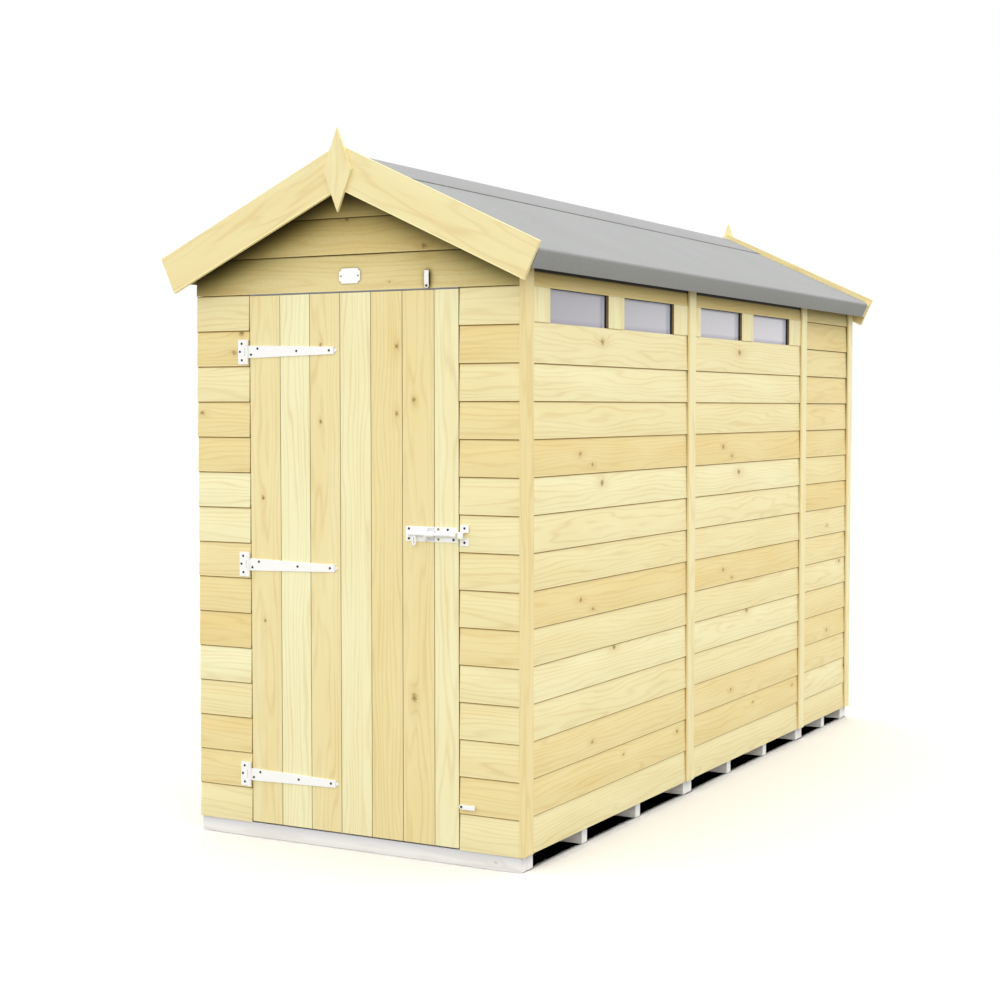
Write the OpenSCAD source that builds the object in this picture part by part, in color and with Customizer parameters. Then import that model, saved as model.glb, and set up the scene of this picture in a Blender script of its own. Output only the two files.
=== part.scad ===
// Apex garden shed of overlap boards, with a plank door in the front gable.
// The front gable faces -Y, the windowed long side faces +X and the ground is at z = 0.
// Heights named *_h and *_z are measured from the foot of the walls, on top of the bearers.

/* [Body] */
// Width over the lower edges of the side wall boards
body_w = 1192; // [1000:1:1500]
// Length of the front side panel
front_panel_l = 1231; // [1100:1:1500]
// Length of the middle side panel
middle_panel_l = 1206; // [1100:1:1500]
// Length of the rear side panel
rear_panel_l = 596; // [450:1:1200]
// Height of the side walls at their outer face
eaves_h = 1818; // [1750:1:1900]
// Gap between neighbouring wall panels, behind the cover strips
panel_gap = 1; // [0.5:0.5:3]

/* [Overlap boards] */
// Height that one board shows
lap_pitch = 113.1; // [105:0.1:120]
// Step of the board faces at each overlap
lap_step = 4; // [2:0.5:12]
// Depth of the boarded layer, from a board's lower edge to the studs
cladding_t = 22; // [18:0.5:28]
// Least height of boards between the doorway or the windows and the roof
least_head_h = 115; // [100:1:130]

/* [Wall frames] */
// Thickness of the studs and rails, inward from the boards
stud_t = 28; // [20:1:45]
// Width of the studs and rails, along the wall
stud_w = 32; // [25:1:50]
// Width of the studs that stand beside the doorway
jamb_w = 40; // [34:1:60]
// How far those studs reach behind the door's edge as its stop
door_stop = 10; // [6:1:14]

/* [Windows] */
// Rise of the sill above the overlap line that it continues
sill_rise = 9; // [0:1:20]
// Height of a window opening
window_h = 104; // [70:1:112]
// Width of the post before the windows of the front panel
front_first_post_w = 114; // [60:1:200]
// Width of the post behind the windows of the front panel
front_last_post_w = 153; // [60:1:200]
// Width of the post before the windows of the middle panel
middle_first_post_w = 93; // [60:1:200]
// Width of the post behind the windows of the middle panel
middle_last_post_w = 167; // [60:1:200]
// Width of the post between the two windows of a panel
middle_post_w = 121; // [60:1:150]
// Thickness of a pane
pane_t = 3; // [2:0.5:6]
// Depth of a pane behind the lower edges of the boards
pane_recess = 15; // [8:1:17]
// Clearance of a pane in its opening
pane_gap = 0.3; // [0.1:0.1:0.8]

/* [Cover strips] */
// Width of the strips over the panel joints
strip_w = 60; // [45:1:90]
// Thickness of the strips
strip_t = 8; // [6:0.5:15]
// Width of the trims at the front corners, along the side wall
trim_w = 66; // [45:1:80]
// Thickness of the trims at the front corners
trim_t = 15; // [8:0.5:16]
// How far those trims stand out from the lower edges of the side boards
trim_proud = 4; // [0:0.5:5]
// Width of the strips at the rear corners
rear_strip_w = 55; // [45:1:80]

/* [Floor] */
// Height of a bearer
bearer_h = 46; // [35:1:75]
// Width of a bearer
bearer_w = 37; // [28:1:60]
// Gap between the two bearers where floor panels meet
bearer_gap = 2; // [1:0.5:5]
// Distance of the bearer ends from the lower edges of the side boards
bearer_inset = 5; // [0:1:20]
// Distance of the first bearer from the lower edges of the front boards
bearer_front_inset = 2; // [0:1:20]
// Distance of the last bearer from the lower edges of the rear boards
bearer_rear_inset = 14; // [0:1:20]
// Thickness of the floor boards
floor_t = 12; // [9:0.5:22]

/* [Roof] */
// Slope of the roof in degrees
roof_pitch = 25; // [18:0.5:30]
// Reach of the roof boards beyond the lower edges of the side boards
eaves_overhang = 75.5; // [62:0.5:120]
// Thickness of the roof boards
roof_t = 12; // [9:0.5:18]
// Thickness of the roofing felt
felt_t = 3; // [1.5:0.5:5]
// Gap between neighbouring layers of the roof
slope_gap = 0.2; // [0.1:0.1:0.6]
// Width of an eaves rail, along the slope
eaves_rail_w = 34; // [25:1:45]
// Depth of an eaves rail below the roof boards
eaves_rail_d = 46; // [30:1:55]
// Width of a purlin
purlin_w = 34; // [25:1:45]
// Depth of a purlin below the roof boards
purlin_d = 44; // [30:1:60]
// Width of one side of the ridge cap
ridge_cap_w = 165; // [80:1:250]
// Overhang of the roof in front of the front boards
front_overhang = 56; // [30:1:120]
// Overhang of the roof behind the rear boards
rear_overhang = 16; // [6:1:120]

/* [Barge boards] */
// Depth of a barge board, square to the slope
barge_d = 122; // [100:1:150]
// Thickness of a barge board
barge_t = 12; // [10:1:28]
// Rise of a barge board above the felt, square to the slope
barge_rise = 21; // [0:1:30]
// Width of a finial
finial_w = 100; // [60:1:130]
// Height of a finial
finial_h = 256; // [200:1:320]
// Height of the middle of a finial below the tops of the barge boards
finial_drop = 78; // [60:1:110]
// Thickness of a finial
finial_t = 10; // [8:1:26]

/* [Door] */
// Width of the front wall to the left of the doorway
left_return_w = 205; // [190:1:230]
// Width of the front wall to the right of the doorway, with its corner trim
right_return_w = 212; // [190:1:230]
// Clearance all round the door
door_gap = 5; // [5:0.5:8]
// Thickness of the door's planks
plank_t = 14; // [11:0.5:16]
// Width that one plank shows
plank_pitch = 113; // [90:0.5:130]
// Depth of the groove at each plank joint
groove_d = 3; // [1:0.5:5]
// Thickness of the ledges and braces behind the planks
ledge_t = 21; // [15:1:28]
// Width of a ledge
ledge_w = 95; // [60:1:120]
// Width of a brace
brace_w = 70; // [50:1:90]
// Clearance of the ledge ends inside the door stops
ledge_gap = 10; // [6:1:20]

/* [Hinges] */
// Height of the lowest hinge
low_hinge_z = 157; // [153:0.5:160]
// Depth of the highest hinge below the top of the doorway
high_hinge_drop = 181.5; // [170:0.5:185]
// Height of a hinge plate
hinge_plate_h = 79; // [60:1:100]
// Width of a hinge plate, from the hinge pin
hinge_plate_w = 37; // [28:1:50]
// Length of a strap, from the hinge pin
strap_l = 341; // [250:1:420]
// Width of a strap at its root
strap_root_w = 40; // [34:1:50]
// Width of a strap at its end
strap_end_w = 23; // [16:1:30]
// Depth of the notches beside a strap's pointed tip
strap_notch = 3; // [1:0.5:4]
// Thickness of the hinge metal
hinge_t = 3; // [2:0.5:4]
// Radius of a hinge knuckle
knuckle_r = 5; // [4:0.5:7]
// Gap between neighbouring knuckles
knuckle_gap = 0.5; // [0.3:0.1:1]
// Distance of the hinge pin from the doorway's edge
pin_offset = 4; // [3:0.5:8]

/* [Bolt] */
// Height of the bolt
bolt_z = 955; // [925:1:990]
// Length of the bolt plate
bolt_plate_l = 183; // [150:1:240]
// Height of the bolt plate
bolt_plate_h = 46; // [36:1:60]
// Distance of the bolt plate from the door's free edge
bolt_plate_inset = 2; // [0:0.5:8]
// Thickness of the bolt plate
bolt_plate_t = 2; // [1.5:0.5:4]
// Radius of the bolt's rod
rod_r = 5.5; // [4:0.5:7]
// Radial clearance of the rod in its guides
rod_gap = 0.3; // [0.2:0.1:0.6]
// Gap between the rod and the bolt plate
rod_lift = 1; // [0.5:0.5:3]
// Distance of the drawn rod's tip from the door's free edge
rod_inset = 7; // [5:0.5:10]
// Travel of the bolt
bolt_travel = 28; // [20:1:32]
// Wall of the rod's guides and of the keep
guide_wall = 3; // [2:0.5:5]
// Distance of the long guide from the bolt plate's inner end
long_guide_inset = 73; // [65:1:90]
// Length of the long guide
long_guide_l = 30; // [20:1:45]
// Length of the short guide
short_guide_l = 16; // [10:1:25]
// Gap between the long guide and the handle of the shot bolt
handle_gap = 3.5; // [2:0.5:8]
// Length of rod behind the handle
rod_tail = 12; // [8:1:24]
// Width of the drop handle, a loop below the rod
handle_w = 16; // [12:0.5:18]
// Thickness of the loop's bar
handle_bar = 5; // [3:0.5:5.5]
// Length of the drop handle below the rod's middle
handle_l = 37; // [28:1:45]
// Length of the keep's feet along the rod
keep_l = 29; // [20:1:40]
// Length of the keep's loop along the rod
keep_loop_l = 19; // [14:1:20]
// Height of one foot of the keep
keep_foot_h = 21; // [15:1:30]
// Clearance of the rod inside the keep
keep_gap = 2.5; // [2:0.5:5]
// Distance of the keep from the doorway's edge
keep_inset = 2; // [0:0.5:10]

/* [Turn buttons] */
// Length of a button from its pivot to its end
button_reach = 46; // [36:1:60]
// Width of a button
button_w = 15; // [12:1:20]
// Thickness of a button
button_t = 4; // [3:0.5:6]
// Clearance between a button and the door's face
button_lift = 5; // [5:0.5:8]
// Gap between a button and its spacer
spacer_gap = 0.3; // [0.2:0.1:0.5]
// Radius of a spacer
spacer_r = 5; // [4:0.5:6]
// Distance of the top button from the doorway's right edge
top_button_inset = 111; // [60:1:200]
// Height of the lower button
lower_button_z = 135; // [125:1:190]

/* [Hidden] */

$fn = 48;
pine = "#EEDFA5";
felt_grey = "#B4B5B4";
felt_edge = "#A5A6A5";
enamel = "#F6F6F4";
bearer_wood = "#E2DED4";
acrylic = [0.74, 0.74, 0.79, 0.5];

half_w = body_w / 2;
wall_t = cladding_t + stud_t;
body_l = 2 * wall_t + front_panel_l + middle_panel_l + rear_panel_l;
joint_ys = [wall_t + front_panel_l, wall_t + front_panel_l + middle_panel_l];
panel_ends = [[wall_t, joint_ys[0]], [joint_ys[0], joint_ys[1]], [joint_ys[1], body_l - wall_t]];
front_reach = front_overhang + barge_t + finial_t;
rear_reach = rear_overhang + barge_t + finial_t;
front_y = (front_reach - rear_reach - body_l) / 2;

front_courses = floor((eaves_h - least_head_h) / lap_pitch);
doorway_x = -half_w + left_return_w;
doorway_end = half_w - right_return_w;
doorway_h = front_courses * lap_pitch;
trim_x = half_w + trim_proud - trim_t;
door_x = doorway_x + door_gap;
door_end = doorway_end - door_gap;
door_h = doorway_h - 2 * door_gap;
ledge_x = doorway_x + door_stop + door_gap + ledge_gap;
ledge_end = doorway_end - door_stop - door_gap - ledge_gap;

sill_courses = front_courses - 1;
sill_h = sill_courses * lap_pitch + sill_rise;
head_h = sill_h + window_h;
windows = concat(
    window_pair(trim_w + front_first_post_w, joint_ys[0] - front_last_post_w),
    window_pair(joint_ys[0] + middle_first_post_w, joint_ys[1] - middle_last_post_w)
);

ridge_h = eaves_h + half_w * tan(roof_pitch);
slope_l = (half_w + eaves_overhang) / cos(roof_pitch);
felt_foot_n = roof_t + slope_gap;
felt_n = felt_foot_n + felt_t;
barge_top_n = felt_n + barge_rise;
barge_top_h = ridge_h + barge_top_n / cos(roof_pitch);
roof_ys = [-front_overhang, body_l + rear_overhang];
inner_half_w = half_w - wall_t;

high_hinge_z = doorway_h - high_hinge_drop;
hinge_zs = [low_hinge_z, (low_hinge_z + high_hinge_z) / 2, high_hinge_z];
pin_x = doorway_x - pin_offset;
pin_y = -knuckle_r - knuckle_gap;
rod_y = -bolt_plate_t - rod_lift - rod_r;
rod_end = door_end - rod_inset;
bolt_plate_end = door_end - bolt_plate_inset;
bolt_plate_x = bolt_plate_end - bolt_plate_l;
guide_r = rod_r + rod_gap;
long_guide_x = bolt_plate_x + long_guide_inset;
handle_x = long_guide_x - handle_gap - bolt_travel - handle_w;
rod_start = handle_x - rod_tail;
short_guide_x = rod_end - short_guide_l;
keep_half = rod_r + keep_gap;
keep_half_h = keep_half + guide_wall + keep_foot_h;
top_button_x = doorway_end - top_button_inset;
top_button_z = doorway_h + button_w / 2;
lower_button_x = doorway_end + button_w / 2;

// Ends of the two windows of a panel, either side of the post in their middle
function window_pair(y0, y1) = [
    [y0, (y0 + y1 - middle_post_w) / 2],
    [(y0 + y1 + middle_post_w) / 2, y1]
];

// Lower edges of the boards from height low to height high
function lap_edges(low, high) =
    [for (k = [0 : ceil((high - low) / lap_pitch - 0.001) - 1]) low + k * lap_pitch];

// Depth of the board face behind the boards' lower edges at a height
function face_depth(z) = lap_step * (z / lap_pitch - floor(z / lap_pitch));

// Depth at which a flat piece between two heights lies against the boards
function seat_depth(low, high) =
    floor(low / lap_pitch) == floor(high / lap_pitch) ? face_depth(low) : 0;

// Section through overlap boards: each leans back from its lower edge to the next board
function lap_section(edges, high) = concat(
    [for (i = [0 : len(edges) - 1], top = [false, true])
        let (next = i < len(edges) - 1 ? edges[i + 1] : high)
        top ? [-lap_step * min(1, (next - edges[i]) / lap_pitch), next] : [0, edges[i]]],
    [[-cladding_t, high], [-cladding_t, edges[0]]]
);

// Point of the right roof slope: s down the slope from the ridge, n above the boards' underside
function on_slope(s, n) = [
    s * cos(roof_pitch) + n * sin(roof_pitch),
    ridge_h - s * sin(roof_pitch) + n * cos(roof_pitch)
];

// Distance down the slope at which a line n above the underside meets the ridge plane
function ridge_s(n) = -n * tan(roof_pitch);

// Strip of the right roof slope between two depths, cut plumb at the ridge
function slope_strip(n0, n1, s1) =
    [on_slope(ridge_s(n0), n0), on_slope(s1, n0), on_slope(s1, n1), on_slope(ridge_s(n1), n1)];

// Bar of the right roof slope with square ends
function slope_bar(s0, s1, n0, n1) =
    [on_slope(s0, n0), on_slope(s1, n0), on_slope(s1, n1), on_slope(s0, n1)];

// Places the shed on its bearers, with y = 0 at the lower edges of the front boards
module on_base() {
    translate([0, front_y, bearer_h])
        children();
}

// Extrudes an x, z section from y0 to y1
module along_y(y0, y1) {
    translate([0, y1, 0])
        rotate([90, 0, 0])
            linear_extrude(y1 - y0)
                children();
}

// Block between two corners
module block(low, high) {
    translate(low)
        cube(high - low);
}

// Turns a wall drawn as the right wall so that it faces the front
module facing_front() {
    rotate([0, 0, -90])
        children();
}

// Gable outline below the roof boards, between two x values
module gable_outline(x0, x1) {
    function roof_h(x) = ridge_h - slope_gap / cos(roof_pitch) - abs(x) * tan(roof_pitch);
    polygon([[x0, 0], [x1, 0], [x1, roof_h(x1)], [0, roof_h(0)], [x0, roof_h(x0)]]);
}

// Boards of a right side panel, up to a height
module side_boards(panel, high) {
    start = panel == 0 ? trim_w : panel_ends[panel][0] + panel_gap / 2;
    end = panel == 2 ? body_l - cladding_t : panel_ends[panel][1] - panel_gap / 2;
    courses = high < eaves_h ? sill_courses : ceil(high / lap_pitch);
    edges = [for (k = [0 : courses - 1]) k * lap_pitch];
    translate([half_w, 0, 0])
        along_y(start, end)
            polygon(lap_section(edges, high));
}

// Boards of the front wall between two x values and two heights
module front_boards(x0, x1, low, high) {
    facing_front()
        along_y(x0, x1)
            polygon(lap_section(lap_edges(low, high), high));
}

// Bearers of three floor panels, with an extra one under each gable wall
module bearers() {
    pair_step = bearer_w + bearer_gap;
    firsts = [bearer_front_inset, joint_ys[0] + bearer_gap / 2, joint_ys[1] + bearer_gap / 2];
    lasts = [
        joint_ys[0] - bearer_w - bearer_gap / 2,
        joint_ys[1] - bearer_w - bearer_gap / 2,
        body_l - bearer_rear_inset - bearer_w
    ];
    steps = [3, 3, 2];
    rows = [for (i = [0 : 2], k = [0 : steps[i]]) firsts[i] + (lasts[i] - firsts[i]) * k / steps[i]];
    color(bearer_wood)
        on_base()
            for (y = concat(rows, [firsts[0] + pair_step, lasts[2] - pair_step]))
                translate([-half_w + bearer_inset, y, -bearer_h])
                    cube([body_w - 2 * bearer_inset, bearer_w, bearer_h]);
}

// Floor boards of one panel, inside the wall boards
module floor_panel(panel) {
    y0 = panel == 0 ? cladding_t : panel_ends[panel][0] + panel_gap / 2;
    y1 = panel == 2 ? body_l - cladding_t : panel_ends[panel][1] - panel_gap / 2;
    color(pine)
        on_base()
            block([-half_w + cladding_t, y0, 0], [half_w - cladding_t, y1, floor_t]);
}

module front_floor() {
    floor_panel(0);
}

module middle_floor() {
    floor_panel(1);
}

module rear_floor() {
    floor_panel(2);
}

module front_left_wall() {
    color(pine)
        on_base()
            front_boards(-half_w, doorway_x, 0, doorway_h);
}

module front_right_wall() {
    color(pine)
        on_base()
            front_boards(doorway_end, trim_x, 0, doorway_h);
}

module front_gable() {
    color(pine)
        on_base()
            intersection() {
                front_boards(-half_w, trim_x, doorway_h, ridge_h);
                along_y(-cladding_t, 2 * cladding_t)
                    gable_outline(-half_w, trim_x);
            }
}

// Stud of a front or rear wall, from the floor to a height
module end_stud(x0, x1, y, high) {
    block([x0, y, floor_t], [x1, y + stud_t, high]);
}

module front_studs() {
    corner = half_w - cladding_t;
    color(pine)
        on_base() {
            end_stud(-corner, -corner + stud_w, cladding_t, eaves_h);
            end_stud(corner - stud_w, corner, cladding_t, eaves_h);
            end_stud(doorway_x + door_gap + door_stop - jamb_w, doorway_x + door_gap + door_stop,
                cladding_t, doorway_h);
            end_stud(doorway_end - door_gap - door_stop, doorway_end - door_gap - door_stop + jamb_w,
                cladding_t, doorway_h);
        }
}

module rear_wall() {
    color(pine)
        on_base()
            translate([0, body_l, 0])
                rotate([0, 0, 180])
                    intersection() {
                        front_boards(-half_w, half_w, 0, ridge_h);
                        along_y(-cladding_t, 2 * cladding_t)
                            gable_outline(-half_w, half_w);
                    }
}

module rear_studs() {
    corner = half_w - cladding_t;
    y = body_l - wall_t;
    color(pine)
        on_base() {
            end_stud(-corner, -corner + stud_w, y, eaves_h);
            end_stud(-stud_w / 2, stud_w / 2, y, doorway_h);
            end_stud(corner - stud_w, corner, y, eaves_h);
        }
}

// Rails across the front and rear walls at the foot of the gables
module gable_rails() {
    reach = half_w - cladding_t - stud_w;
    color(pine)
        on_base()
            for (y = [cladding_t, body_l - wall_t])
                block([-reach, y, doorway_h], [reach, y + stud_t, doorway_h + stud_w]);
}

// Rafters behind the gable boards, under the roof boards
module gable_rafters() {
    low_s = (half_w - cladding_t - stud_w) / cos(roof_pitch) - stud_w * tan(roof_pitch);
    color(pine)
        on_base()
            for (y = [cladding_t, body_l - wall_t], side = [0, 1])
                mirror([side, 0, 0])
                    along_y(y, y + stud_t)
                        polygon([
                            on_slope(panel_gap, -slope_gap),
                            on_slope(low_s, -slope_gap),
                            on_slope(low_s, -stud_w),
                            on_slope(ridge_s(-stud_w) + panel_gap, -stud_w)
                        ]);
}

module right_front_wall() {
    color(pine)
        on_base()
            side_boards(0, sill_h);
}

module right_middle_wall() {
    color(pine)
        on_base()
            side_boards(1, sill_h);
}

module right_rear_wall() {
    color(pine)
        on_base()
            side_boards(2, eaves_h);
}

// Plain panel of the left side
module left_wall(panel) {
    color(pine)
        on_base()
            mirror([1, 0, 0])
                side_boards(panel, eaves_h);
}

module left_front_wall() {
    left_wall(0);
}

module left_middle_wall() {
    left_wall(1);
}

module left_rear_wall() {
    left_wall(2);
}

// Upright boards before, between and behind the windows
module window_posts() {
    post_ends = [
        [trim_w, windows[0][0]],
        [windows[0][1], windows[1][0]],
        [windows[1][1], joint_ys[0] - panel_gap / 2],
        [joint_ys[0] + panel_gap / 2, windows[2][0]],
        [windows[2][1], windows[3][0]],
        [windows[3][1], joint_ys[1] - panel_gap / 2]
    ];
    color(pine)
        on_base()
            for (ends = post_ends)
                block([half_w - cladding_t, ends[0], sill_h], [half_w, ends[1], head_h]);
}

// Boards over the windows, up to the roof
module window_heads() {
    spans = [
        [trim_w, joint_ys[0] - panel_gap / 2],
        [joint_ys[0] + panel_gap / 2, joint_ys[1] - panel_gap / 2]
    ];
    color(pine)
        on_base()
            for (span = spans)
                translate([half_w, 0, 0])
                    along_y(span[0], span[1])
                        polygon(lap_section([head_h], eaves_h));
}

module window_panes() {
    color(acrylic)
        on_base()
            for (ends = windows)
                block(
                    [half_w - pane_recess - pane_t, ends[0] + pane_gap, sill_h + pane_gap],
                    [half_w - pane_recess, ends[1] - pane_gap, head_h - pane_gap]
                );
}

// Studs of the right side wall, drawn between the bottom and the top rails
module side_studs(with_windows) {
    outer = half_w - cladding_t;
    for (panel = [0 : 2]) {
        y0 = panel_ends[panel][0] + panel_gap / 2;
        y1 = panel_ends[panel][1] - panel_gap / 2;
        short = with_windows && panel < 2;
        top = short ? sill_h - stud_w : eaves_h - stud_w;
        for (y = [y0, (y0 + y1 - stud_w) / 2, y1 - stud_w])
            block([outer - stud_t, y, floor_t + stud_w], [outer, y + stud_w, top]);
    }
}

// Bottom and top rails of the right side wall, with sill rails under the windows
module side_rails(with_windows) {
    outer = half_w - cladding_t;
    for (panel = [0 : 2]) {
        y0 = panel_ends[panel][0] + panel_gap / 2;
        y1 = panel_ends[panel][1] - panel_gap / 2;
        rail_tops = concat(
            [floor_t + stud_w, eaves_h],
            with_windows && panel < 2 ? [sill_h] : []
        );
        for (top = rail_tops)
            block([outer - stud_t, y0, top - stud_w], [outer, y1, top]);
    }
}

module right_studs() {
    color(pine)
        on_base()
            side_studs(true);
}

module right_rails() {
    color(pine)
        on_base()
            side_rails(true);
}

module left_studs() {
    color(pine)
        on_base()
            mirror([1, 0, 0])
                side_studs(false);
}

module left_rails() {
    color(pine)
        on_base()
            mirror([1, 0, 0])
                side_rails(false);
}

// Trims at the front corners: the right one closes the front boards, the left one stands behind them
module corner_trims() {
    color(pine)
        on_base() {
            block([trim_x, 0, 0], [half_w + trim_proud, trim_w, eaves_h - trim_proud]);
            block([-half_w - trim_proud, cladding_t, 0], [-trim_x, trim_w, eaves_h - trim_proud]);
        }
}

module cover_strips() {
    spans = [
        [joint_ys[0] - strip_w / 2, joint_ys[0] + strip_w / 2],
        [joint_ys[1] - strip_w / 2, joint_ys[1] + strip_w / 2],
        [body_l - rear_strip_w, body_l]
    ];
    color(pine)
        on_base()
            for (span = spans, side = [0, 1])
                mirror([side, 0, 0])
                    block([half_w, span[0], 0], [half_w + strip_t, span[1], eaves_h - strip_t]);
}

// Roof boards of the right slope
module roof_boards() {
    color(pine)
        on_base()
            along_y(roof_ys[0], roof_ys[1])
                polygon(slope_strip(0, roof_t, slope_l));
}

module right_roof() {
    roof_boards();
}

module left_roof() {
    mirror([1, 0, 0])
        roof_boards();
}

// Rails under the lower edges of the roof boards
module eaves_rails() {
    color(pine)
        on_base()
            for (side = [0, 1])
                mirror([side, 0, 0])
                    along_y(roof_ys[0], roof_ys[1])
                        polygon(slope_bar(slope_l - eaves_rail_w, slope_l, -eaves_rail_d, -slope_gap));
}

// Rails under the middle of each slope, between the gables
module purlins() {
    middle_s = inner_half_w / cos(roof_pitch) / 2;
    color(pine)
        on_base()
            for (side = [0, 1])
                mirror([side, 0, 0])
                    along_y(wall_t, body_l - wall_t)
                        polygon(slope_bar(middle_s, middle_s + purlin_w, -purlin_d, -slope_gap));
}

// Felt of the right slope, folded down over the eaves rail
module felt_sheet() {
    fold_n = -eaves_rail_d;
    fold_s = slope_l + slope_gap;
    color(felt_grey)
        on_base()
            along_y(roof_ys[0], roof_ys[1])
                polygon([
                    on_slope(ridge_s(felt_foot_n), felt_foot_n),
                    on_slope(fold_s, felt_foot_n),
                    on_slope(fold_s, fold_n),
                    on_slope(fold_s + felt_t, fold_n),
                    on_slope(fold_s + felt_t, felt_n),
                    on_slope(ridge_s(felt_n), felt_n)
                ]);
}

module right_felt() {
    felt_sheet();
}

module left_felt() {
    mirror([1, 0, 0])
        felt_sheet();
}

// Strip of felt folded over the ridge
module ridge_cap() {
    section = slope_strip(felt_n + slope_gap, felt_n + slope_gap + felt_t, ridge_cap_w);
    color(felt_edge)
        on_base()
            along_y(roof_ys[0], roof_ys[1])
                polygon([
                    section[0], section[1], section[2], section[3],
                    [-section[2][0], section[2][1]], [-section[1][0], section[1][1]]
                ]);
}

// Right barge board with its outer face at y0
module barge_board(y0) {
    color(pine)
        on_base()
            along_y(y0, y0 + barge_t)
                polygon(slope_strip(barge_top_n - barge_d, barge_top_n, slope_l));
}

module front_right_barge() {
    barge_board(roof_ys[0] - barge_t);
}

module front_left_barge() {
    mirror([1, 0, 0])
        barge_board(roof_ys[0] - barge_t);
}

module rear_right_barge() {
    barge_board(roof_ys[1]);
}

module rear_left_barge() {
    mirror([1, 0, 0])
        barge_board(roof_ys[1]);
}

// Pointed finial over the joint of two barge boards
module finial(y0) {
    middle_h = barge_top_h - finial_drop;
    color(pine)
        on_base()
            along_y(y0, y0 + finial_t)
                polygon([
                    [0, middle_h - finial_h / 2],
                    [finial_w / 2, middle_h],
                    [0, middle_h + finial_h / 2],
                    [-finial_w / 2, middle_h]
                ]);
}

module front_finial() {
    finial(roof_ys[0] - barge_t - finial_t);
}

module rear_finial() {
    finial(roof_ys[1] + barge_t);
}

// Planks of the door, with a groove at each joint
module door_leaf() {
    count = floor((door_end - door_x) / plank_pitch - 0.2);
    joints = [for (k = [1 : count]) door_x + k * plank_pitch];
    face = [for (x = joints, d = [-1, 0, 1]) [x + d * groove_d / 2, d == 0 ? groove_d : 0]];
    color(pine)
        on_base()
            translate([0, 0, door_gap])
                linear_extrude(door_h)
                    polygon(concat(
                        [[door_x, plank_t], [door_x, 0]],
                        face,
                        [[door_end, 0], [door_end, plank_t]]
                    ));
}

module door_ledges() {
    color(pine)
        on_base()
            for (z = hinge_zs)
                block([ledge_x, plank_t, z - ledge_w / 2], [ledge_end, plank_t + ledge_t, z + ledge_w / 2]);
}

// Braces that rise from the hinge side between the ledges
module door_braces() {
    color(pine)
        on_base()
            for (i = [0, 1]) {
                low = hinge_zs[i] + ledge_w / 2;
                high = hinge_zs[i + 1] - ledge_w / 2;
                along_y(plank_t, plank_t + ledge_t)
                    polygon([
                        [ledge_x, low], [ledge_x + brace_w, low],
                        [ledge_end, high], [ledge_end - brace_w, high]
                    ]);
            }
}

// Knuckle of a hinge between two heights
module knuckle(z0, z1) {
    translate([pin_x, pin_y, z0])
        cylinder(r = knuckle_r, h = z1 - z0);
}

// Hinge plates on the front wall, each with an upper and a lower knuckle
module hinge_plates() {
    half_h = hinge_plate_h / 2;
    tab_z = strap_root_w / 2 + knuckle_gap;
    plate_end = pin_x - knuckle_r - knuckle_gap;
    color(enamel)
        on_base()
            for (z = hinge_zs) {
                block([pin_x - hinge_plate_w, -hinge_t, z - half_h], [plate_end, 0, z + half_h]);
                for (span = [[z - half_h, z - tab_z], [z + tab_z, z + half_h]]) {
                    block([plate_end, -hinge_t, span[0]], [pin_x, 0, span[1]]);
                    knuckle(span[0], span[1]);
                }
            }
}

// Tapered straps on the door, each with the middle knuckle of its hinge and a notched arrow tip
module hinge_straps() {
    half_root = strap_root_w / 2;
    half_end = strap_end_w / 2;
    end = strap_l - half_end;
    color(enamel)
        on_base()
            for (z = hinge_zs) {
                along_y(-hinge_t, 0)
                    translate([pin_x, z])
                        polygon([
                            [0, -half_root], [end, -half_end],
                            [end - strap_notch / 2, strap_notch - half_end],
                            [strap_l, 0],
                            [end - strap_notch / 2, half_end - strap_notch],
                            [end, half_end], [0, half_root]
                        ]);
                knuckle(z - half_root, z + half_root);
            }
}

// Guide that holds the rod on the bolt plate: a round-topped saddle with a bore
module rod_guide(x, l) {
    outer = guide_r + guide_wall;
    translate([x, 0, bolt_z])
        rotate([90, 0, 90])
            linear_extrude(l)
                difference() {
                    union() {
                        intersection() {
                            translate([rod_y, 0])
                                circle(r = outer);
                            translate([rod_y - outer, -outer])
                                square([outer, 2 * outer]);
                        }
                        translate([rod_y, -outer])
                            square([-rod_y, 2 * outer]);
                    }
                    translate([rod_y, 0])
                        circle(r = guide_r);
                }
}

module bolt_plate() {
    color(enamel)
        on_base() {
            block(
                [bolt_plate_x, -bolt_plate_t, bolt_z - bolt_plate_h / 2],
                [bolt_plate_end, 0, bolt_z + bolt_plate_h / 2]
            );
            rod_guide(long_guide_x, long_guide_l);
            rod_guide(short_guide_x - bolt_plate_inset, short_guide_l);
        }
}

// Loop that hangs from the rod, with a round foot
module drop_handle() {
    foot_z = bolt_z - handle_l + handle_w / 2;
    hole_r = handle_w / 2 - handle_bar;
    hole_top = bolt_z - rod_r - handle_bar / 2;
    along_y(rod_y - handle_bar / 2, rod_y + handle_bar / 2)
        translate([handle_x + handle_w / 2, foot_z])
            difference() {
                union() {
                    circle(d = handle_w);
                    translate([-handle_w / 2, 0])
                        square([handle_w, bolt_z - foot_z]);
                }
                circle(r = hole_r);
                translate([-hole_r, 0])
                    square([2 * hole_r, hole_top - foot_z]);
            }
}

module bolt_rod() {
    color(enamel)
        on_base() {
            translate([rod_start, rod_y, bolt_z])
                rotate([0, 90, 0])
                    cylinder(r = rod_r, h = rod_end - rod_start);
            drop_handle();
        }
}

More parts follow.
